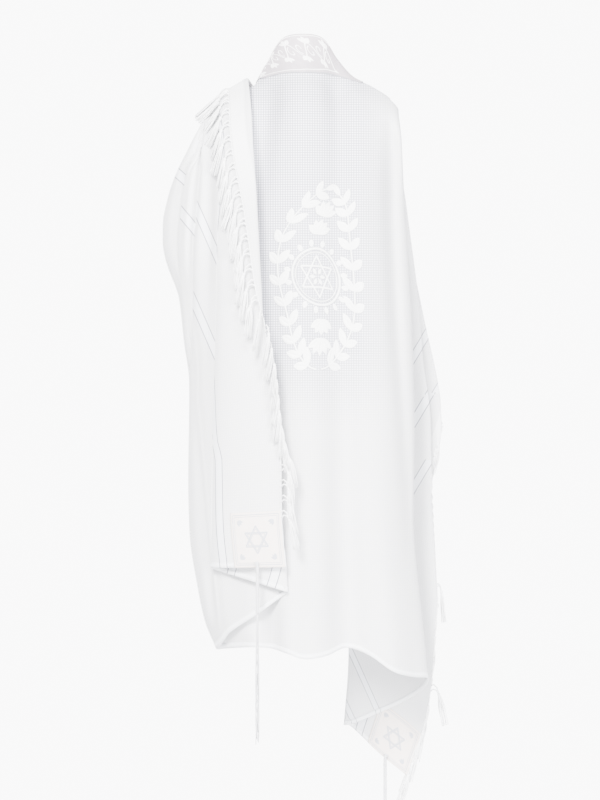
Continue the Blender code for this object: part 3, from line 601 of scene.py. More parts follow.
def edge_frames(grid, column, inner):
    """Points of a fringed edge and the way out of the cloth there, square to the edge."""
    edge = grid[:, column]
    along = np.gradient(edge, axis=0)
    along /= np.linalg.norm(along, axis=1, keepdims=True)
    out = edge - grid[:, inner]
    out -= along * np.sum(out * along, axis=1, keepdims=True)
    return edge, out / np.linalg.norm(out, axis=1, keepdims=True)


# The fine grid that the cloth, its hems and everything on it are made from.
COLUMN_PARTS = 4
ROW_PARTS = 5
CUT_WIDTH = 2 * HALF_WIDTH
CLOTH_THICK = 0.0011
HEM_THICK = 0.0026
FLOOR_Z = -2.03
FLOOR_CORNERS = ((-3.0, -3.0), (3.0, -3.0), (3.0, 3.0), (-3.0, 3.0))
WALL_Y = 60.0  # so far off that it hides nothing in a view from the front
WALL_CORNERS = ((-18.0, -25.5), (18.0, -25.5), (18.0, 16.5), (-18.0, 16.5))
WALL_GLOW = 8.2

# Pairs of thin stripes with a band between, by distance of the band's middle from a fringed edge.
BANDS = (0.150, 0.252, 0.355)
BAND_HALF = 0.0085
STRIPE_OUT = 0.0100

# Soft valleys and ridges in the back panel: places down it, then width and depth (minus is a
# ridge).
BACK_FOLDS = {
    "beside_right_edge": (
        # z, x, half width, depth
        (-0.10, 0.194, 0.010, 0.003),
        (-0.16, 0.198, 0.016, 0.014),
        (-0.28, 0.198, 0.017, 0.021),
        (-0.46, 0.205, 0.017, 0.022),
        (-0.62, 0.213, 0.016, 0.018),
        (-0.80, 0.226, 0.016, 0.013),
        (-0.98, 0.238, 0.014, 0.007),
        (-1.15, 0.244, 0.012, 0.0),
    ),
    "lower_middle": (
        (-0.80, -0.020, 0.020, 0.0),
        (-0.95, -0.012, 0.022, 0.008),
        (-1.15, -0.006, 0.022, 0.012),
        (-1.33, 0.002, 0.020, 0.010),
    ),
    "lower_right_of_middle": (
        (-0.60, 0.030, 0.020, 0.0),
        (-0.80, 0.036, 0.022, -0.006),
        (-1.10, 0.046, 0.026, -0.010),
        (-1.33, 0.052, 0.028, -0.004),
    ),
    "lower_right": (
        (-0.70, 0.110, 0.022, 0.0),
        (-0.95, 0.112, 0.026, 0.005),
        (-1.20, 0.118, 0.026, 0.006),
        (-1.33, 0.125, 0.026, 0.003),
    ),
    "under_flap": (
        (-0.30, -0.075, 0.016, 0.0),
        (-0.55, -0.066, 0.018, 0.005),
        (-0.90, -0.050, 0.018, 0.006),
        (-1.25, -0.062, 0.020, 0.003),
    ),
}

# The two pleat edges in the panel that hangs from the left arm, between its own two edges.
PLEAT_LINES = (
    # z, outline, outer pleat edge, inner pleat edge, edge of the flap, how far a pleat stands out
    (-0.08, -0.224, -0.222, -0.220, -0.200, 0.0),
    (-0.12, -0.240, -0.228, -0.222, -0.195, 0.005),
    (-0.171, -0.260, -0.237, -0.229, -0.191, 0.009),
    (-0.212, -0.286, -0.261, -0.232, -0.191, 0.012),
    (-0.299, -0.315, -0.275, -0.238, -0.193, 0.014),
    (-0.371, -0.318, -0.280, -0.244, -0.194, 0.014),
    (-0.481, -0.284, -0.281, -0.246, -0.195, 0.012),
    (-0.585, -0.270, -0.269, -0.252, -0.198, 0.010),
    (-0.68, -0.257, -0.2565, -0.256, -0.200, 0.008),
    (-0.90, -0.259, -0.2585, -0.258, -0.205, 0.006),
    (-1.28, -0.250, -0.2495, -0.249, -0.207, 0.005),
)
PLEAT_TOP = -0.08
PLEAT_BOTTOM = -1.28
FLAP_ROUND = 0.006  # how far the flap's left edge is rounded back
FLAP_ROUND_WIDTH = 0.014

# Where a panel's hidden folds shift the stripes: a line's middle in the picture plane, the way
# it runs, its distance from the fringed edge, how fast that grows across it, and the least and
# the most distance from the edge that the panel takes.
PANEL_STRIPES = {
    "outer_pleat": ((-0.277, -0.225), (11, -10), 0.355, 1.0, 0.30, 0.87),
    "middle_pleat": ((-0.258, -0.329), (13, -16), 0.355, 1.0, 0.30, 0.87),
    "inner_pleat": ((-0.218, -0.351), (19.5, -45), 0.252, 1.16, 0.20, 0.87),
    "right_high": ((0.250, -0.635), (17, 29), 0.355, -1.2, 0.07, 0.87),
    "right_middle": ((0.251, -0.781), (17, 29), 0.252, -1.1, 0.07, 0.87),
    "right_low": ((0.251, -0.930), (17, 29), 0.150, -1.2, 0.07, 0.87),
    "below_hem": ((0.139, -1.371), (23, -51), 0.252, -1.7, 0.07, 0.32),
}

# Fine columns at which the panels begin and end.
PLEATED_PANEL = (14 * COLUMN_PARTS, 25 * COLUMN_PARTS)
BACK_PANEL = (25 * COLUMN_PARTS, 45 * COLUMN_PARTS)
BELOW_HEM_PANEL = (45 * COLUMN_PARTS, 52 * COLUMN_PARTS)
RIGHT_PANELS = (54 * COLUMN_PARTS, 69 * COLUMN_PARTS)

random.seed(7)


def fine_rows():
    rows = []
    for start, end in zip(ROWS, ROWS[1:]):
        rows += list(np.linspace(start, end, ROW_PARTS, endpoint=False))
    return rows + [ROWS[-1]]


def fold_offset(point):
    """How far a point of the back panel is pushed in by its soft folds."""
    x, y, z = point
    push = 0.0
    for fold in BACK_FOLDS.values():
        if fold[0][0] < z or fold[-1][0] > z:
            continue
        centre, half, depth = (smooth_table(fold, z, column) for column in (1, 2, 3))
        push += depth * math.exp(-(((x - centre) / half) ** 2))
    return push


def pleat_lines(z):
    low, high = PLEAT_LINES[-1][0], PLEAT_LINES[0][0]
    z = min(max(z, low), high)
    return [smooth_table(PLEAT_LINES, z, column) for column in range(1, 6)]


def pleat_offset(x, z):
    """How far the pleated panel stands out: each pleat is rounded and sinks to the next edge."""
    outline, outer, inner, flap, high = pleat_lines(z)
    if x < outer:
        share = min(max((x - outline) / max(outer - outline, 0.002), 0.0), 1.0)
        return -0.6 * high * share ** 2
    start, stop = (outer, inner) if x < inner else (inner, flap)
    share = min(max((x - start) / max(stop - start, 0.002), 0.0), 1.0)
    return high * (1.0 - 1.6 * share ** 2)


def panel_of(column, x, z):
    """The name of the panel whose hidden folds shift the stripes, if any."""
    if PLEATED_PANEL[0] <= column < PLEATED_PANEL[1] and z > PLEAT_BOTTOM:
        outline, outer, inner, flap, high = pleat_lines(z)
        if x < outer:
            return "outer_pleat"
        return "middle_pleat" if x < inner else "inner_pleat"
    if RIGHT_PANELS[0] <= column < RIGHT_PANELS[1] and x > 0.235 and -1.10 < z < -0.25:
        return "right_high" if z > -0.715 else "right_middle" if z > -0.86 else "right_low"
    if BELOW_HEM_PANEL[0] <= column < BELOW_HEM_PANEL[1] and z < -1.25:
        return "below_hem"
    return None


def shifted(name, column, place, point):
    """A place in the cut for the stripes, with the shift of its panel's hidden folds."""
    (x, z), (run_x, run_z), start, grow, least, most = PANEL_STRIPES[name]
    length = math.hypot(run_x, run_z)
    across = ((point[0] - x) * run_z - (point[2] - z) * run_x) / length
    edge = min(max(start + grow * across, least), most)
    return (edge if column < PLEATED_PANEL[1] else CUT_WIDTH - edge, place[1])


def drift(u, v):
    """Small uneven waves, so that no panel is quite flat."""
    return (
        math.sin(23.0 * u + 3.1 * v + 1.7 * math.sin(5.0 * v))
        + 0.6 * math.sin(41.0 * u - 6.3 * v + 0.4)
        + 0.4 * math.sin(13.0 * v + 4.0 * math.sin(9.0 * u))
    ) / 2.0


def fine_grid():
    """The cloth's points, and each one's place in the flat cut: across from the left, and down."""
    rows = fine_rows()
    points, cut = [], []
    for v in rows:
        curve, along, places = row_curve(v)
        coarse = column_places(places)
        count = (len(coarse) - 1) * COLUMN_PARTS
        columns = np.interp(np.linspace(0, len(coarse) - 1, count + 1), range(len(coarse)), coarse)
        left, right, end = places["side_left"], places["side_right"], columns[-1]
        across = np.interp(columns, (0.0, left, right, end),
                           (0.0, left, CUT_WIDTH - (end - right), CUT_WIDTH))
        line = []
        for s, u in zip(columns, across):
            point = np.array([np.interp(s, along, curve[:, k]) for k in range(3)])
            if left < s < right:
                edge = min(s - left, right - s)
                point[1] += fold_offset(point) * ease(0.0, 0.03, edge)
            elif places["fold_back"] < s < left and PLEAT_BOTTOM < point[2] < PLEAT_TOP:
                edge = min(s - places["fold_back"], left - s)
                point[1] -= pleat_offset(point[0], point[2]) * ease(0.0, 0.02, edge)
            elif places["flap_edge"] < s < places["deep_crease"] and point[2] < -0.12:
                away = (places["deep_crease"] - s) / FLAP_ROUND_WIDTH
                point[1] += FLAP_ROUND * math.exp(-away) * ease(0.12, 0.2, -point[2])
            line.append(point)
        points.append(line)
        cut.append([(u, v) for u in across])
    points, cut = np.array(points), np.array(cut)
    normals = normals_of(points)
    loose = np.array([[drift(u, v) * 0.0012 * ease(0.0, 0.15, v) for u, v in line] for line in cut])
    return points + normals * loose[..., None], cut


def mesh_object(name, verts, faces, slot=None):
    mesh = bpy.data.meshes.new(name)
    mesh.from_pydata([tuple(vert) for vert in verts], [], faces)
    mesh.polygons.foreach_set("use_smooth", [True] * len(mesh.polygons))
    made = bpy.data.objects.new(name, mesh)
    bpy.context.scene.collection.objects.link(made)
    if slot:
        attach(made, "root")
    return made


# Added to heights in the back panel's weave places, so that all of them are below zero.
WEAVE_BELOW = 0.2


def set_cut(made, places):
    """Keeps each vertex's place in the flat cut as a texture place, in metres."""
    layer = made.data.uv_layers.new(name="cut")
    index = np.zeros(len(made.data.loops), dtype=np.int32)
    made.data.loops.foreach_get("vertex_index", index)
    layer.data.foreach_set("uv", np.asarray(places, dtype=np.float32)[index].ravel())


def set_cloth_cut(made, points, cut):
    """As set_cut, face by face, so that stripes can break at a pleat's edge.

    A second set of places is for the weave. In the back panel it is the place as seen from
    behind, where heights are below zero, and elsewhere it is the place in the cut."""
    rows, columns = cut.shape[:2]
    places, weave = [], []
    for r in range(rows - 1):
        for c in range(columns - 1):
            around = ((r, c), (r + 1, c), (r + 1, c + 1), (r, c + 1))
            middle = sum(points[i, j] for i, j in around) / 4
            name = panel_of(c, middle[0], middle[2])
            for i, j in around:
                place = cut[i, j]
                if name:
                    place = shifted(name, c, place, points[i, j])
                places += [float(place[0]), float(place[1])]
                if BACK_PANEL[0] <= c < BACK_PANEL[1]:
                    weave += [float(points[i, j, 0]), float(points[i, j, 2]) - WEAVE_BELOW]
                else:
                    weave += [float(cut[i, j][0]), float(cut[i, j][1])]
    for name, values in (("cut", places), ("weave", weave)):
        layer = made.data.uv_layers.new(name=name)
        layer.data.foreach_set("uv", values)


def grid_faces(rows, columns):
    return [
        (r * columns + c, (r + 1) * columns + c, (r + 1) * columns + c + 1, r * columns + c + 1)
        for r in range(rows - 1)
        for c in range(columns - 1)
    ]


def thicken(made, amount):
    """Gives a sheet its wall."""
    wall = made.modifiers.new("wall", "SOLIDIFY")
    wall.thickness = amount
    wall.offset = 0.0
    wall.use_even_offset = False


def apply_modifiers(made):
    graph = bpy.context.evaluated_depsgraph_get()
    mesh = bpy.data.meshes.new_from_object(made.evaluated_get(graph))
    made.modifiers.clear()
    made.data = mesh
    made.data.polygons.foreach_set("use_smooth", [True] * len(mesh.polygons))


class Surface:
    """Looks up the cloth's points and outer normals by place in the flat cut."""

    def __init__(self, points, cut):
        self.points, self.cut = points, cut
        self.normals = normals_of(points)
        self.rows = cut[:, 0, 1]

    def at(self, u, v):
        row = min(max(float(np.interp(v, self.rows, range(len(self.rows)))), 0.0),
                  len(self.rows) - 1.001)
        r = int(row)
        found = []
        for line in (r, r + 1):
            places = self.cut[line, :, 0]
            point = [np.interp(u, places, self.points[line, :, k]) for k in range(3)]
            normal = [np.interp(u, places, self.normals[line, :, k]) for k in range(3)]
            found.append(np.array(point + normal))
        both = mix(found[0], found[1], row - r)
        return both[:3], both[3:] / np.linalg.norm(both[3:])


# Shader helpers. Each returns an output socket.
def new_material(name, roughness, sheen=0.0):
    made = bpy.data.materials.new(name)
    made.use_nodes = True
    tree = made.node_tree
    shader = tree.nodes["Principled BSDF"]
    shader.inputs["Roughness"].default_value = roughness
    shader.inputs["Sheen Weight"].default_value = sheen
    shader.inputs["Specular IOR Level"].default_value = 0.3
    return made, tree, shader


def put(tree, socket, value):
    if isinstance(value, (int, float, tuple)):
        socket.default_value = value
    else:
        tree.links.new(value, socket)


def calc(tree, operation, a, b=0.0, clamp=False):
    node = tree.nodes.new("ShaderNodeMath")
    node.operation = operation
    node.use_clamp = clamp
    put(tree, node.inputs[0], a)
    put(tree, node.inputs[1], b)
    return node.outputs[0]


def blend_colours(tree, share, a, b):
    node = tree.nodes.new("ShaderNodeMix")
    node.data_type = "RGBA"
    put(tree, node.inputs["Factor"], share)
    put(tree, node.inputs["A"], a)
    put(tree, node.inputs["B"], b)
    return node.outputs["Result"]


def noise(tree, vector, scale, detail=3.0):
    node = tree.nodes.new("ShaderNodeTexNoise")
    node.inputs["Scale"].default_value = scale
    node.inputs["Detail"].default_value = detail
    tree.links.new(vector, node.inputs["Vector"])
    return node.outputs["Fac"]


def cut_place(tree, layer="cut"):
    """Distance across from the left fringed edge, and down from the neck edge."""
    place = tree.nodes.new("ShaderNodeUVMap")
    place.uv_map = layer
    split = tree.nodes.new("ShaderNodeSeparateXYZ")
    tree.links.new(place.outputs["UV"], split.inputs["Vector"])
    return place.outputs["UV"], split.outputs["X"], split.outputs["Y"]


def near(tree, value, centre, half, soft):
    """1 within half of centre, fading to 0 over soft."""
    away = calc(tree, "ABSOLUTE", calc(tree, "SUBTRACT", value, centre))
    inside = calc(tree, "SUBTRACT", half + soft, away)
    return calc(tree, "DIVIDE", inside, soft, clamp=True)


def ripple(tree, value, period):
    """A smooth wave of 0 to 1."""
    turned = calc(tree, "MULTIPLY", value, math.tau / period)
    wave = calc(tree, "SINE", turned)
    return calc(tree, "ADD", calc(tree, "MULTIPLY", wave, 0.5), 0.5)


def add_bump(tree, shader, height, strength, distance):
    bump = tree.nodes.new("ShaderNodeBump")
    bump.inputs["Strength"].default_value = strength
    bump.inputs["Distance"].default_value = distance
    tree.links.new(height, bump.inputs["Height"])
    tree.links.new(bump.outputs["Normal"], shader.inputs["Normal"])


WOOL = (0.64, 0.64, 0.65, 1.0)
WOOL_LINE = (0.80, 0.80, 0.81, 1.0)
SHEER = (0.27, 0.27, 0.32, 1.0)
SHEER_LINE = (0.93, 0.93, 0.98, 1.0)
BAND_WHITE = (0.76, 0.77, 0.80, 1.0)
EDGE_WHITE = (0.83, 0.83, 0.84, 1.0)
STRIPE_GREY = (0.10, 0.105, 0.14, 1.0)
WEAVE_PERIOD = 0.0055
PLAIN_EDGE = 0.042


def window(tree, value, low, high, soft):
    """1 from low to high, fading to 0 over soft beyond them."""
    return near(tree, value, (low + high) / 2, (high - low) / 2, soft)


def stripes_of(tree, edge):
    """The satin bands and the thin stripes beside them, by distance from a fringed edge."""
    band, stripe = 0.0, 0.0
    for centre in BANDS:
        band = calc(tree, "MAXIMUM", band, near(tree, edge, centre, BAND_HALF, 0.0006))
        for side in (-1, 1):
            line = near(tree, edge, centre + side * STRIPE_OUT, 0.0006, 0.0007)
            stripe = calc(tree, "MAXIMUM", stripe, line)
    return band, stripe


def wool_material():
    """White wool with a fine window-pane weave, satin bands between thin stripes, and plain bands along
    the upper part of the fringed edges.
    """
    made, tree, shader = new_material("wool", 0.85, 0.2)
    place, across, down = cut_place(tree)
    edge = calc(tree, "MINIMUM", across, calc(tree, "SUBTRACT", CUT_WIDTH, across))

    weave_place, weave_x, weave_z = cut_place(tree, "weave")
    lines = calc(tree, "MULTIPLY", ripple(tree, weave_x, WEAVE_PERIOD),
                 ripple(tree, weave_z, WEAVE_PERIOD))
    pane = calc(tree, "POWER", lines, 0.8)
    dense = blend_colours(tree, calc(tree, "MULTIPLY", pane, 0.5), WOOL, WOOL_LINE)
    sheer = blend_colours(tree, pane, SHEER, SHEER_LINE)
    # The darker open weave over the upper middle of the back. Its left part, beside the flap, is also
    # painted shadow: the flap's shadow on the back.
    open_weave_and_painted_shadow = calc(tree, "MULTIPLY", window(tree, weave_x, -0.13, 0.12, 0.09),
                      window(tree, weave_z, -0.62 - WEAVE_BELOW, 0.02 - WEAVE_BELOW, 0.18))
    colour = blend_colours(tree, open_weave_and_painted_shadow, dense, sheer)
    cloud = calc(tree, "MULTIPLY", noise(tree, place, 7.0), 0.30)
    colour = blend_colours(tree, cloud, colour, (0.60, 0.60, 0.62, 1.0))

    plain = calc(tree, "MULTIPLY", near(tree, edge, 0.0, PLAIN_EDGE - 0.006, 0.006),
                 window(tree, down, 0.0, 0.50, 0.15))
    colour = blend_colours(tree, plain, colour, EDGE_WHITE)
    band, stripe = stripes_of(tree, edge)
    satin = blend_colours(tree, ripple(tree, edge, 0.0022), BAND_WHITE, (0.70, 0.71, 0.74, 1.0))
    colour = blend_colours(tree, band, colour, satin)
    colour = blend_colours(tree, stripe, colour, STRIPE_GREY)
    tree.links.new(colour, shader.inputs["Base Color"])
    rough = calc(tree, "SUBTRACT", 0.86, calc(tree, "MULTIPLY", band, 0.3))
    tree.links.new(rough, shader.inputs["Roughness"])

    nap = calc(tree, "MULTIPLY", noise(tree, place, 700.0, 2.0), 0.5)
    height = calc(tree, "ADD", calc(tree, "MULTIPLY", pane, 0.6), nap)
    height = calc(tree, "ADD", height, calc(tree, "MULTIPLY", stripe, 0.5))
    add_bump(tree, shader, height, 0.5, 0.0004)
    return made


def hem_material():
    made, tree, shader = new_material("hem", 0.85, 0.3)
    place, across, down = cut_place(tree)
    dashes = ripple(tree, across, 0.0045)
    stitch = calc(tree, "MULTIPLY", near(tree, down, CUT_LENGTH - 0.0098, 0.0004, 0.0004),
                  calc(tree, "GREATER_THAN", dashes, 0.35))
    colour = blend_colours(tree, stitch, (0.83, 0.84, 0.86, 1.0), (0.62, 0.63, 0.66, 1.0))
    edge = calc(tree, "MINIMUM", across, calc(tree, "SUBTRACT", CUT_WIDTH, across))
    band, stripe = stripes_of(tree, edge)
    colour = blend_colours(tree, stripe, colour, STRIPE_GREY)
    tree.links.new(colour, shader.inputs["Base Color"])
    pucker = calc(tree, "ADD", ripple(tree, across, 0.009), noise(tree, place, 160.0))
    add_bump(tree, shader, pucker, 0.45, 0.0006)
    return made


def satin_material(name, light, dark, scale):
    """Satin with a fine brocade ground."""
    made, tree, shader = new_material(name, 0.42, 0.15)
    place, across, down = cut_place(tree)
    twill = ripple(tree, calc(tree, "ADD", across, down), scale)
    ground = noise(tree, place, 60.0, 4.0)
    share = calc(tree, "MULTIPLY", calc(tree, "ADD", calc(tree, "MULTIPLY", twill, 0.4), ground), 0.8)
    tree.links.new(blend_colours(tree, share, light, dark), shader.inputs["Base Color"])
    add_bump(tree, shader, calc(tree, "ADD", twill, ground), 0.35, 0.0004)
    return made


def thread_material(name, colour, roughness, scale):
    """Stitched or twisted thread, with a painted highlight on its crests and painted shade in its
    hollows.
    """
    made, tree, shader = new_material(name, roughness, 0.25)
    coordinates = tree.nodes.new("ShaderNodeTexCoord")
    grain_and_crest_light = noise(tree, coordinates.outputs["Object"], scale, 2.0)
    # Painted light: the colour is lighter where the grain's bump rises (painted highlight) and darker in
    # its hollows (painted shade).
    painted_hollow_shade = tuple(channel * 0.86 for channel in colour[:3]) + (1.0,)
    tree.links.new(blend_colours(tree, grain_and_crest_light, painted_hollow_shade, colour), shader.inputs["Base Color"])
    add_bump(tree, shader, grain_and_crest_light, 0.4, 0.0006)
    return made


def hem_place(column, place, point):
    """A hem's place for its stripes, which meet those of the cloth."""
    name = panel_of(column, point[0], point[2])
    return shifted(name, column, place, point) if name else place


def strip_on(surface, name, places, side, lift, thick, slot, finish, looks=None):
    """A piece that lies on the cloth, over a grid of places in the cut."""
    verts = []
    for row in places:
        for u, v in row:
            point, normal = surface.at(u, v)
            verts.append(point + normal * side * lift)
    made = mesh_object(name, verts, grid_faces(len(places), len(places[0])), slot)
    set_cut(made, [place for row in looks or places for place in row])
    made.data.materials.append(finish)
    thicken(made, thick)
    apply_modifiers(made)
    return made


def place_grid(u_low, u_high, v_low, v_high, across, down):
    return [
        [(u, v) for u in np.linspace(u_low, u_high, across)]
        for v in np.linspace(v_low, v_high, down)
    ]


# The collar band's lower seam as seen from behind: x, z.
SEAM = (
    (-0.1350, -0.020),
    (-0.1200, -0.013),
    (-0.0900, -0.0045),
    (-0.0540, 0.0036),
    (-0.0250, 0.0056),
    (0.0140, 0.0056),
    (0.0530, 0.0036),
    (0.0830, -0.0022),
    (0.1240, -0.0135),
    (0.1350, -0.017),
)
BAND_LEAST = 0.020
DEPTH_STEPS = 40
EMBROIDERED_DEPTH = 0.058  # the band is embroidered where it is deeper than this


def band_depth(surface, u):
    """How far down from the neck edge the collar band reaches at u."""
    found = BAND_LEAST
    for v in np.linspace(BAND_LEAST, ATARAH_DEPTH, DEPTH_STEPS):
        x, y, z = surface.at(u, v)[0]
        if not SEAM[0][0] <= x <= SEAM[-1][0]:
            continue
        if z >= np.interp(x, [place[0] for place in SEAM], [place[1] for place in SEAM]):
            found = v
    return found


def band_depths(surface):
    """The collar band's depth across: it narrows where its seam meets the shoulders."""
    across = np.linspace(HALF_WIDTH - ATARAH_HALF, HALF_WIDTH + ATARAH_HALF, 150)
    depths = np.array([band_depth(surface, u) for u in across])
    padded = np.pad(depths, 3, mode="edge")
    return list(zip(across, np.convolve(padded, np.ones(7) / 7, mode="valid")))


def outline_places(u_low, u_high, v_low, v_high, steps=24):
    """The places of a rectangle's sides, inset for its stitched border."""
    corners = ((u_low, v_low), (u_high, v_low), (u_high, v_high), (u_low, v_high), (u_low, v_low))
    places = []
    for (u0, v0), (u1, v1) in zip(corners, corners[1:]):
        places += [(mix(u0, u1, t), mix(v0, v1, t)) for t in np.linspace(0, 1, steps, endpoint=False)]
    return places + [corners[0]]


class Relief:
    """Embroidery: raised stitched ribbons and leaves, laid on the cloth by place in the cut."""

    def __init__(self, surface, side, lift):
        self.surface, self.side, self.lift = surface, side, lift
        self.verts, self.faces = [], []
        self.edges = None

    def outlined(self, wider):
        """From here on, every ribbon also has a flat, wider one under it."""
        self.edges = Relief(self.surface, self.side, self.lift)
        self.wider = wider

    def ribbon(self, places, half, height, taper=False, closed=False):
        """A domed ribbon along places. A tapered one is a leaf or petal."""
        if self.edges:
            self.edges.ribbon(places, half + self.wider, 0.00015, taper, closed)
        places = np.array(places, dtype=float)
        ahead = np.gradient(places, axis=0)
        if closed:
            ahead[0] = ahead[-1] = places[1] - places[-2]
        lengths = np.maximum(np.linalg.norm(ahead, axis=1, keepdims=True), 1e-9)
        out = np.column_stack((-ahead[:, 1], ahead[:, 0])) / lengths
        start = len(self.verts)
        across = (-1.0, -0.55, 0.0, 0.55, 1.0)
        count = len(places)
        for i, (place, away) in enumerate(zip(places, out)):
            full = half
            if taper:
                full = half * math.sin(math.pi * (0.04 + 0.92 * i / (count - 1))) ** 0.8
            for t in across:
                u, v = place + away * full * t
                point, normal = self.surface.at(u, v)
                rise = self.lift + height * (1 - t * t) * full / half
                self.verts.append(point + normal * self.side * rise)
        for i in range(count - 1):
            for k in range(len(across) - 1):
                a = start + i * len(across) + k
                self.faces.append((a, a + 1, a + len(across) + 1, a + len(across)))

    def leaf(self, u, v, angle, length, half, height=0.0011):
        """A leaf of two stitched halves either side of its vein."""
        for side in (-1, 1):
            places = []
            for t in np.linspace(0, 1, 9):
                bow = side * math.sin(t * math.pi) * half * 0.5
                du = math.cos(angle) * length * t - math.sin(angle) * bow
                dv = math.sin(angle) * length * t + math.cos(angle) * bow
                places.append((u + du, v + dv))
            self.ribbon(places, half * 0.52, height, taper=True)

    def made(self, name, slot, finish):
        made = mesh_object(name, self.verts, self.faces, slot)
        made.data.materials.append(finish)
        return made


def circle_places(u, v, radius, steps):
    return [
        (u + radius * math.cos(math.tau * i / steps), v + radius * math.sin(math.tau * i / steps))
        for i in range(steps + 1)
    ]


def back_embroidery(surface, finish, edge_finish):
    """Two leafy sprays that rise round a star in a ring: a generic design on the back."""
    work = Relief(surface, 1, CLOTH_THICK / 2 + 0.0002)
    work.outlined(0.0011)
    u0, v0 = HALF_WIDTH + 0.0135, 0.560
    for side in (-1, 1):
        stem = []
        for i in range(25):
            t = i / 24
            angle = math.pi / 2 - side * math.pi * (0.02 + 0.90 * t)
            stem.append((u0 + 0.098 * math.cos(angle), v0 + 0.205 * math.sin(angle)))
        work.ribbon(stem, 0.0022, 0.0012)
        for i in range(2, 24, 2):
            (u, v), (u1, v1) = stem[i], stem[min(i + 1, 24)]
            heading = math.atan2(v1 - v, u1 - u)
            for lean in (-0.75, 0.75):
                size = 0.042 if lean * side < 0 else 0.034
                work.leaf(u, v, heading + lean, size, 0.0098)
        work.leaf(*stem[-1], math.atan2(stem[-1][1] - stem[-2][1], stem[-1][0] - stem[-2][0]),
                  0.036, 0.008)
    for radius, half in ((0.062, 0.0026), (0.054, 0.0013)):
        work.ribbon(circle_places(u0, v0, radius, 48), half, 0.0012, closed=True)
    star(work, u0, v0, 0.046, 0.0022)
    for i in range(6):
        angle = math.tau * i / 6
        work.leaf(u0 + 0.006 * math.cos(angle), v0 + 0.006 * math.sin(angle), angle, 0.014, 0.0042)
    for i in range(16):
        angle = math.tau * (i + 0.5) / 16
        work.leaf(u0 + 0.066 * math.cos(angle), v0 + 0.066 * math.sin(angle), angle, 0.017, 0.0062)
    for rise, size in ((-0.098, 0.034), (-0.142, 0.038), (0.098, 0.034), (0.142, 0.038)):
        for i in range(5):
            angle = math.copysign(math.pi / 2, rise) + (i - 2) * 0.5
            work.leaf(u0, v0 + rise * 0.96, angle, size, 0.0085)
    work.edges.made("back_embroidery_edge", "white_yarn", edge_finish)
    return work.made("back_embroidery", "white_yarn", finish)


def star(work, u, v, radius, half):
    """A six-pointed star of two triangles."""
    for k in (0, 1):
        corners = [
            (u + radius * math.sin(math.pi * k + math.tau * i / 3),
             v - radius * math.cos(math.pi * k + math.tau * i / 3))
            for i in range(4)
        ]
        for (ua, va), (ub, vb) in zip(corners, corners[1:]):
            places = [(mix(ua, ub, t), mix(va, vb, t)) for t in np.linspace(0, 1, 9)]
            work.ribbon(places, half, 0.0010)


def collar_embroidery(surface, lift, depths, finish, edge_finish):
    """A running vine with leaves and curls between two lines: the collar band's own pattern."""
    work = Relief(surface, 1, lift)
    full = [u for u, depth in depths if depth > EMBROIDERED_DEPTH]
    low, high = full[0] + 0.004, full[-1] - 0.004
    work.ribbon([(u, 0.008) for u in np.linspace(low, high, 140)], 0.0012, 0.0008)
    wave, middle, height = 0.052, 0.038, 0.013
    vine = [(u, middle + height * math.sin((u - low) / wave * math.tau))
            for u in np.linspace(low, high, 240)]
    work.ribbon(vine, 0.0012, 0.0009)
    turns = int((high - low) / wave * 2)
    for i in range(turns):
        u = low + (i + 0.5) * wave / 2
        side = 1 if i % 2 == 0 else -1
        v = middle + height * side
        work.ribbon(
            [(u + (0.010 - 0.0075 * t) * math.cos(5.2 * t + 1.57),
              v - side * (0.016 - (0.010 - 0.0075 * t) * math.sin(5.2 * t + 1.57)))
             for t in np.linspace(0, 1, 18)], 0.0010, 0.0008)
        for lean, size in ((0.55, 0.016), (2.6, 0.016), (1.57, 0.013)):
            work.leaf(u, v, side * lean, size, 0.0042, 0.0009)
    seam = Relief(surface, 1, lift)
    seam.ribbon([(u, depth - 0.001) for u, depth in depths], 0.0012, 0.0004)
    work.ribbon([(u, depth - 0.008) for u, depth in depths if depth > EMBROIDERED_DEPTH], 0.0009, 0.0006)
    seam.made("collar_seam", "white_brocade", edge_finish)
    return work.made("collar_embroidery", "white_brocade", finish)


def square_embroidery(surface, name, corner, side, lift, finish):
    """A star in a lined border, with small leaves in its corners."""
    work = Relief(surface, side, lift)
    (u_low, u_high), (v_low, v_high) = corner
    u, v = (u_low + u_high) / 2, (v_low + v_high) / 2
    for inset, half in ((0.006, 0.0009), (0.010, 0.0006)):
        work.ribbon(outline_places(u_low + inset, u_high - inset, v_low + inset, v_high - inset),
                    half, 0.0006)
    star(work, u, v, 0.030, 0.0016)
    star(work, u, v, 0.024, 0.0007)
    for du in (-1, 1):
        for dv in (-1, 1):
            angle = math.atan2(-dv, -du)
            for lean in (-0.5, 0.0, 0.5):
                work.leaf(u + du * 0.042, v + dv * 0.042, angle + lean, 0.013, 0.003, 0.0008)
    return work.made(name, "cream_satin", finish)


class Yarn:
    """Many tubes in one mesh."""

    def __init__(self):
        self.verts, self.faces = [], []

    def tube(self, path, radii, sides=5, twist=0.0):
        path = np.array(path)
        ahead = np.gradient(path, axis=0)
        ahead /= np.maximum(np.linalg.norm(ahead, axis=1, keepdims=True), 1e-9)
        side = np.cross(ahead[0], (0.31, 0.87, 0.38))
        start = len(self.verts)
        for i, (point, way) in enumerate(zip(path, ahead)):
            side = side - way * np.dot(side, way)
            side /= max(np.linalg.norm(side), 1e-9)
            front = np.cross(way, side)
            radius = radii[i] if hasattr(radii, "__len__") else radii
            for k in range(sides):
                angle = math.tau * k / sides + twist * i
                self.verts.append(point + (side * math.cos(angle) + front * math.sin(angle)) * radius)
        for i in range(len(path) - 1):
            for k in range(sides):
                a, b = start + i * sides + k, start + i * sides + (k + 1) % sides
                self.faces.append((a, b, b + sides, a + sides))
        self.faces.append(tuple(range(start + sides - 1, start - 1, -1)))
        end = start + (len(path) - 1) * sides
        self.faces.append(tuple(range(end, end + sides)))

    def made(self, name, finish):
        made = mesh_object(name, self.verts, self.faces, "white_yarn")
        made.data.materials.append(finish)
        return made


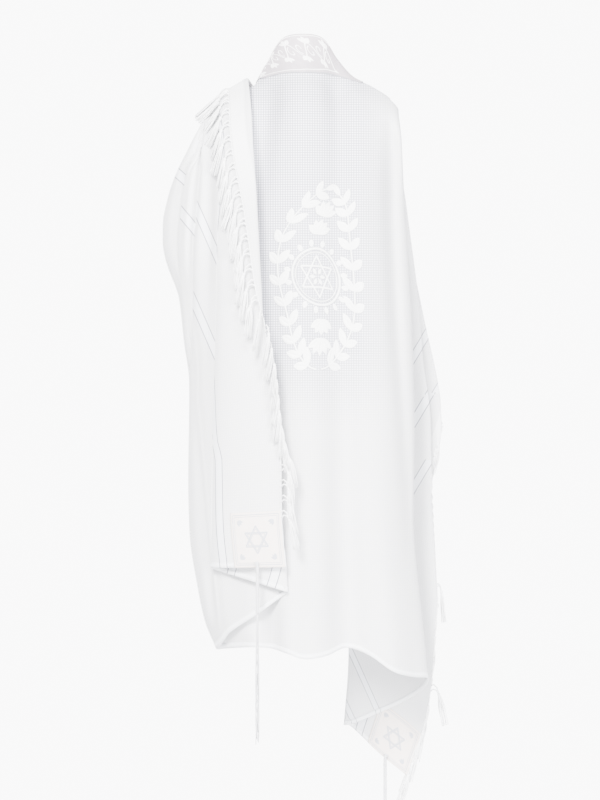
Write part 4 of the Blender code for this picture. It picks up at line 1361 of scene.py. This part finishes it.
class Resting:
    """Keeps loose yarn on the outside of the cloth behind it."""

    def __init__(self, cloth):
        verts = [vert.co for vert in cloth.data.vertices]
        self.tree = BVHTree.FromPolygons(verts, [tuple(p.vertices) for p in cloth.data.polygons])

    def clear(self, point, out, gap, reach=0.05):
        """The point, moved out if the cloth lies in front of it or closer than gap."""
        start = Vector(point) + Vector(out) * reach
        hit, normal, face, distance = self.tree.ray_cast(start, -Vector(out), reach + gap)
        if hit is None:
            return np.array(point)
        return np.array(hit) + np.array(out) * gap


# Where each point of a tuft's path lies: out from the edge, up, and along its fall.
TUFT_STEPS = (
    (0.0, 0.0, 0.0),
    (0.007, 0.005, 0.0),
    (0.014, 0.005, 0.004),
    (0.018, 0.0, 0.012),
    (0.019, 0.0, 0.020),
    (0.019, 0.0, 0.030),
    (0.019, 0.0, 0.042),
    (0.019, 0.0, 0.055),
    (0.019, 0.0, 0.069),
    (0.019, 0.0, 0.084),
)
KNOT_STEP = 3
TUFT_GAP = 0.0040  # from the cloth's middle to a tuft's
BRUSH_STRANDS = 14


def tuft_path(root, away, out, fall, resting, gap):
    """From the cloth's edge over the knot and down, resting on the cloth behind."""
    fall = fall / np.linalg.norm(fall)
    path = [root]
    for step, up, down in TUFT_STEPS[1:]:
        point = root + away * step + np.array((0.0, 0.0, up)) + fall * down
        path.append(resting.clear(point, out, gap))
    return np.array(path)


def add_tuft(yarn, path, along, out):
    """Two legs that join in a knot, and the loose brush below it."""
    jitter = random.uniform(-1, 1)
    for side in (-1, 1):
        legs = [path[i] + along * side * 0.0068 * (1 - i / KNOT_STEP) ** 0.7
                for i in range(KNOT_STEP + 1)]
        yarn.tube(legs, 0.00155, 6)
    centre = path[KNOT_STEP]
    way = path[KNOT_STEP + 1] - path[KNOT_STEP - 1]
    way /= np.linalg.norm(way)
    ball = [centre + way * t for t in (-0.0042, -0.003, 0.0, 0.003, 0.0044)]
    yarn.tube(ball, (0.0014, 0.0030, 0.0036, 0.0030, 0.0014), 8)
    across = np.cross(way, out)
    across /= np.linalg.norm(across)
    last = len(path) - 1
    for number in range(BRUSH_STRANDS):
        angle = math.tau * number / BRUSH_STRANDS + jitter
        inner = 0.45 if number % 3 == 0 else 1.0
        spread = (across * math.cos(angle) + out * 0.42 * math.sin(angle)) * inner
        bend = random.uniform(-1.0, 1.0)
        short = random.uniform(0.0, 0.12)
        strand = []
        for i in range(KNOT_STEP, last + 1):
            t = (i - KNOT_STEP) / (last - KNOT_STEP)
            point = mix(path[KNOT_STEP], path[i], 1 - short * t)
            wide = 0.0014 + 0.0062 * math.sin(min(t * 1.5, 1.0) * math.pi / 2)
            sway = across * bend * 0.0035 * t * math.sin(2.6 * t + number)
            strand.append(point + spread * wide + sway)
        radii = np.interp(range(len(strand)), (0, len(strand) - 1), (0.00135, 0.00075))
        yarn.tube(strand, radii, 4)


# The way a tuft falls, by its distance down the left edge.
FALL_LEFT = (
    # v, x, y, z
    (0.0, 0.60, 0.30, -1.0),
    (0.15, 0.60, 0.30, -1.0),
    (0.22, -0.10, 0.55, -0.8),
    (0.27, -0.80, 0.20, -0.65),
    (0.31, -0.80, -0.10, -0.70),
    (0.35, -0.55, -0.30, -0.90),
    (0.42, -0.34, -0.10, -1.0),
    (0.55, -0.20, -0.05, -1.0),
    (0.85, -0.14, -0.04, -1.0),
    (1.05, -0.06, -0.03, -1.0),
    (1.15, 0.10, -0.03, -1.0),
    (1.25, 0.18, -0.04, -1.0),
    (1.40, 0.20, -0.05, -1.0),
)
# Heights at which the right edge comes to the outline, so that its tufts show from behind.
SHOWN_RIGHT = ((-0.79, -0.70), (-1.175, -1.115), (-1.39, -1.36))


# How far a tuft reaches out from the edge before it falls, where it shows and where it is tucked
# behind the cloth.
REACH_SHOWN = 1.0
REACH_TUCKED = 0.15


def fall_left(v, root):
    return np.array([smooth_table(FALL_LEFT, v, column) for column in (1, 2, 3)]), REACH_SHOWN


def fall_right(v, root):
    if any(low < root[2] < high for low, high in SHOWN_RIGHT):
        return np.array((0.10, 0.0, -1.0)), REACH_SHOWN
    return np.array((-0.30, 0.16, -1.0)), REACH_TUCKED


def make_fringe(surface, resting, name, column, inner, fall_at, outside, last, finish):
    """Knotted tufts all the way down one short edge."""
    yarn = Yarn()
    edge, out = edge_frames(surface.points, column, inner)
    face = surface.normals[:, column]
    rows = surface.rows

    def at(values, v):
        return np.array([np.interp(v, rows, values[:, k]) for k in range(3)])

    selvage = [at(edge, v) + at(out, v) * 0.0008 for v in np.linspace(0.0, CUT_LENGTH, 220)]
    yarn.tube(selvage, 0.0011, 5)
    count = round(CUT_LENGTH / TUFT_SPACING)
    for number in range(count):
        v = 0.012 + (CUT_LENGTH - 0.024) * number / (count - 1)
        if v > last:
            break
        away = at(out, v)
        away /= np.linalg.norm(away)
        normal = at(face, v)
        normal *= math.copysign(1.0, np.dot(normal, outside))
        normal /= np.linalg.norm(normal)
        root = at(edge, v)
        fall, reach = fall_at(v, root)
        fall = fall / np.linalg.norm(fall) + np.array((random.uniform(-0.09, 0.09), 0.0, 0.0))
        along = np.cross(away, normal)
        path = tuft_path(root, away * reach, normal, fall, resting, TUFT_GAP)
        add_tuft(yarn, path, along, normal)
    return yarn.made(name, finish)


# Turns of winding between the double knots of a corner tassel.
WINDINGS = (7, 8, 11, 13)
CORE = 0.0021
WIND = 0.0014


def make_tassel(name, route, finish):
    """A corner tassel: double knots with windings between them, then eight twisted strands."""
    yarn = Yarn()
    route = np.array(route)
    spans = np.linalg.norm(np.diff(route, axis=0), axis=1)
    along = np.concatenate(([0.0], np.cumsum(spans)))

    def at(reach):
        if reach <= along[-1]:
            return np.array([np.interp(reach, along, route[:, k]) for k in range(3)])
        return route[-1] + np.array((0.0, 0.0, along[-1] - reach))

    def rod(start, end, radius, steps, sides=7):
        yarn.tube([at(r) for r in np.linspace(start, end, steps)], radius, sides)

    rod(0.0, KNOTTED_LENGTH + 0.004, CORE, 24, 6)
    knots = len(WINDINGS) + 1
    knot_size = 0.0075
    pitch = (KNOTTED_LENGTH - knots * knot_size) / sum(WINDINGS)
    reach = 0.0
    for number in range(knots):
        for half in (0.0, 0.5):
            middle = reach + knot_size * (0.27 + half)
            ball = [at(middle + t) for t in (-0.0022, -0.0012, 0.0, 0.0012, 0.0022)]
            yarn.tube(ball, (0.0024, 0.0042, 0.0048, 0.0042, 0.0024), 8)
        reach += knot_size
        if number < len(WINDINGS):
            turns = WINDINGS[number]
            coil = []
            for i in range(turns * 8 + 1):
                angle = math.tau * i / 8
                centre = at(reach + pitch * i / 8)
                ahead = at(reach + pitch * i / 8 + 0.001) - centre
                side = np.cross(ahead, (0.0, 1.0, 0.2))
                side /= np.linalg.norm(side)
                front = np.cross(side, ahead)
                front /= np.linalg.norm(front)
                around = side * math.cos(angle) + front * math.sin(angle)
                coil.append(centre + around * (CORE + 0.0006))
            yarn.tube(coil, WIND, 4)
            reach += pitch * turns
    free = TZITZIT_LENGTH - KNOTTED_LENGTH
    for number in range(8):
        angle = math.tau * number / 8
        length = free * (0.90 + 0.1 * ((number * 3) % 8) / 7)
        strand = []
        for i in range(31):
            t = i / 30
            turn = angle + 5.5 * t + 0.3 * math.sin(7 * t + number)
            wide = 0.0012 + 0.0022 * t + 0.0012 * math.sin(math.pi * t)
            offset = np.array((math.cos(turn) * wide, math.sin(turn) * wide * 0.8, 0.0))
            strand.append(at(KNOTTED_LENGTH + length * t) + offset)
        yarn.tube(strand, 0.00105, 4)
    return yarn.made(name, finish)


def hung_from(route, drift_out):
    """The route, with the first of its free fall."""
    free = np.array((0.0, drift_out, -1.0))
    return route + [route[-1] + free * 0.012, route[-1] + free * 0.03]


def corner_route(shape, rows, column, side, drift_out):
    """From a corner's hole along its face to the last of rows, and then down."""
    grid, normals = shape
    route = [grid[row, column] + normals[row, column] * side * TASSEL_CLEAR for row in rows]
    return hung_from(route, drift_out)


# The lower tassels hang from holes above the hem: across from the left edge, face, drift.
HEM_HOLES = {
    "tzitzit_lower_left": (0.063, -1, -0.02),
    "tzitzit_lower_right": (CUT_WIDTH - 0.064, 1, 0.12),
}


def hole_route(surface, u, side, drift_out):
    """From a hole in a corner, over the hem and down."""
    route = []
    for v in (CUT_LENGTH - 0.013, CUT_LENGTH - 0.006, CUT_LENGTH - 0.0005):
        point, normal = surface.at(u, v)
        route.append(point + normal * side * TASSEL_CLEAR)
    return hung_from(route, drift_out)


def make_stage():
    """A pale floor, and a bright wall far behind that fills the picture."""
    floor = mesh_object("floor", [(x, y, FLOOR_Z) for x, y in FLOOR_CORNERS], [(0, 1, 2, 3)])
    finish, tree, shader = new_material("pale_floor", 0.9)
    shader.inputs["Base Color"].default_value = (0.80, 0.80, 0.81, 1.0)
    floor.data.materials.append(finish)
    wall = mesh_object("wall", [(x, WALL_Y, z) for x, z in WALL_CORNERS], [(0, 1, 2, 3)])
    finish, tree, shader = new_material("bright_wall", 0.9)
    shader.inputs["Base Color"].default_value = (0.90, 0.90, 0.90, 1.0)
    shader.inputs["Emission Color"].default_value = (1.0, 1.0, 1.0, 1.0)
    shader.inputs["Emission Strength"].default_value = WALL_GLOW
    wall.data.materials.append(finish)


# Three soft lights and the pale room round them.
WORLD_STRENGTH = 1.9
LIGHT_SIZE = 2.2
LIGHT_TARGET = (0.0, -0.1, -0.7)
LIGHTS = (
    # name, place, power, colour
    ("key", (-1.9, -5.8, 3.0), 3200, (1.0, 0.99, 0.98)),
    ("fill", (3.4, -5.0, -0.4), 1250, (0.99, 0.99, 1.0)),
    ("front", (-2.4, 5.2, 2.4), 900, (1.0, 1.0, 1.0)),
)


def add_light(name, location, power, colour):
    light = bpy.data.lights.new(name, "AREA")
    light.size = LIGHT_SIZE
    light.energy = power
    light.color = colour
    made = bpy.data.objects.new(name, light)
    made.location = location
    aim = Vector(LIGHT_TARGET) - Vector(location)
    made.rotation_euler = aim.to_track_quat("-Z", "Y").to_euler()
    bpy.context.scene.collection.objects.link(made)


def make_lights():
    world = bpy.data.worlds.new("pale_room")
    world.use_nodes = True
    world.node_tree.nodes["Background"].inputs["Color"].default_value = (0.95, 0.97, 1.0, 1.0)
    world.node_tree.nodes["Background"].inputs["Strength"].default_value = WORLD_STRENGTH
    bpy.context.scene.world = world
    for light in LIGHTS:
        add_light(*light)


# The photograph is level, from behind, through a long lens.
PICTURE_HEIGHT = 1.8
PICTURE_CENTRE = (-0.007, -0.731)
CAMERA_AWAY = 20.0
BACK_DEPTH = -0.12  # from which that distance is measured
SENSOR_WIDTH = 36.0
CLIP_END = 200.0


def make_camera():
    camera = bpy.data.cameras.new("camera")
    camera.sensor_width = SENSOR_WIDTH
    camera.lens = SENSOR_WIDTH * CAMERA_AWAY / PICTURE_HEIGHT
    camera.clip_end = CLIP_END
    made = bpy.data.objects.new("camera", camera)
    made.location = (PICTURE_CENTRE[0], BACK_DEPTH - CAMERA_AWAY, PICTURE_CENTRE[1])
    made.rotation_euler = (math.pi / 2, 0.0, 0.0)
    bpy.context.scene.collection.objects.link(made)
    bpy.context.scene.camera = made


def main():
    make_camera()
    make_stage()
    make_lights()
    points, cut = fine_grid()
    surface = Surface(points, cut)
    rows, columns = points.shape[:2]

    wool = wool_material()
    cloth = mesh_object("shawl", points.reshape(-1, 3), grid_faces(rows, columns), "white_wool")
    set_cloth_cut(cloth, points, cut)
    cloth.data.materials.append(wool)
    thicken(cloth, CLOTH_THICK)
    apply_modifiers(cloth)
    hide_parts("shawl_cloth")

    hem = hem_material()
    for name, line, downs in (
        ("hem_lower", -1, (CUT_LENGTH - 0.0115, CUT_LENGTH - 0.006, CUT_LENGTH)),
        ("hem_neck", 0, (0.0, 0.004, 0.008)),
    ):
        grid = [[(u, v) for u in cut[line, :, 0]] for v in downs]
        looks = [[hem_place(c, place, points[line, c]) for c, place in enumerate(row)]
                 for row in grid]
        strip_on(surface, name, grid, 1, 0.0, HEM_THICK, "white_wool", hem, looks)

    satin = satin_material("cream_satin", (0.84, 0.77, 0.72, 1.0), (0.72, 0.64, 0.60, 1.0), 0.0016)
    brocade = satin_material("white_brocade", (0.50, 0.45, 0.48, 1.0), (0.36, 0.315, 0.345, 1.0),
                             0.0018)
    floss = thread_material("white_floss", (0.95, 0.95, 0.94, 1.0), 0.45, 900.0)
    silver = thread_material("silver_floss", (0.46, 0.47, 0.52, 1.0), 0.35, 900.0)
    outline = thread_material("outline_floss", (0.34, 0.34, 0.37, 1.0), 0.6, 900.0)
    yarn = thread_material("white_yarn", (0.96, 0.96, 0.965, 1.0), 0.8, 600.0)
    # Painted shade: the tassel yarn is greyed for the shade among its thin strands.
    cord = thread_material("tassel_cord_painted_shade", (0.62, 0.62, 0.64, 1.0), 0.7, 600.0)
    lift = WALL / 2 + SEAM_GAP + SATIN_WALL / 2
    top = lift + SATIN_WALL / 2

    depths = band_depths(surface)
    band_grid = [[(u, depth * share) for u, depth in depths] for share in np.linspace(0, 1, 24)]
    band = strip_on(surface, "atarah_band", band_grid, 1, lift, SATIN_WALL, "white_brocade",
                    brocade)
    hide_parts("atarah")
    collar_embroidery(surface, top, depths, floss, outline)
    back_embroidery(surface, floss, outline)

    low, high = CUT_LENGTH - SQUARE, CUT_LENGTH
    for name, across, down, side in (
        ("square_lower_left", (0.0, SQUARE), (low, high), -1),
        ("square_lower_right", (CUT_WIDTH - SQUARE, CUT_WIDTH), (low, high), 1),
        ("square_upper_left", (0.0, SQUARE), (0.0, SQUARE), -1),
        ("square_upper_right", (CUT_WIDTH - SQUARE, CUT_WIDTH), (0.0, SQUARE), 1),
    ):
        patch = strip_on(surface, name + "_satin", place_grid(*across, *down, 40, 40), side, lift,
                         SATIN_WALL, "cream_satin", satin)
        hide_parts(name)
        square_embroidery(surface, name + "_star", (across, down), side, top, silver)

    resting = Resting(cloth)
    left = make_fringe(surface, resting, "fringe_left", 0, COLUMN_PARTS, fall_left,
                       (0.0, -0.8, 0.6), CUT_LENGTH - 0.085, yarn)
    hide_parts("fringe_left_1", "fringe_left_2", "fringe_left_3")
    right = make_fringe(surface, resting, "fringe_right", columns - 1,
                        columns - 1 - 2 * COLUMN_PARTS, fall_right, (0.3, 0.8, 0.0),
                        CUT_LENGTH, yarn)
    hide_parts("fringe_right_1", "fringe_right_2")
    coarse, along = cloth_grid()
    shape = (coarse, normals_of(coarse))
    routes = {name: hole_route(surface, *place) for name, place in HEM_HOLES.items()}
    routes.update((name, corner_route(shape, *place)) for name, place in UPPER_TASSELS.items())
    for name, route in routes.items():
        tassel = make_tassel(name + "_yarn", route, cord)
        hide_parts(name)


def plain(box):
    return [[float(value) for value in corner] for corner in box]


main()
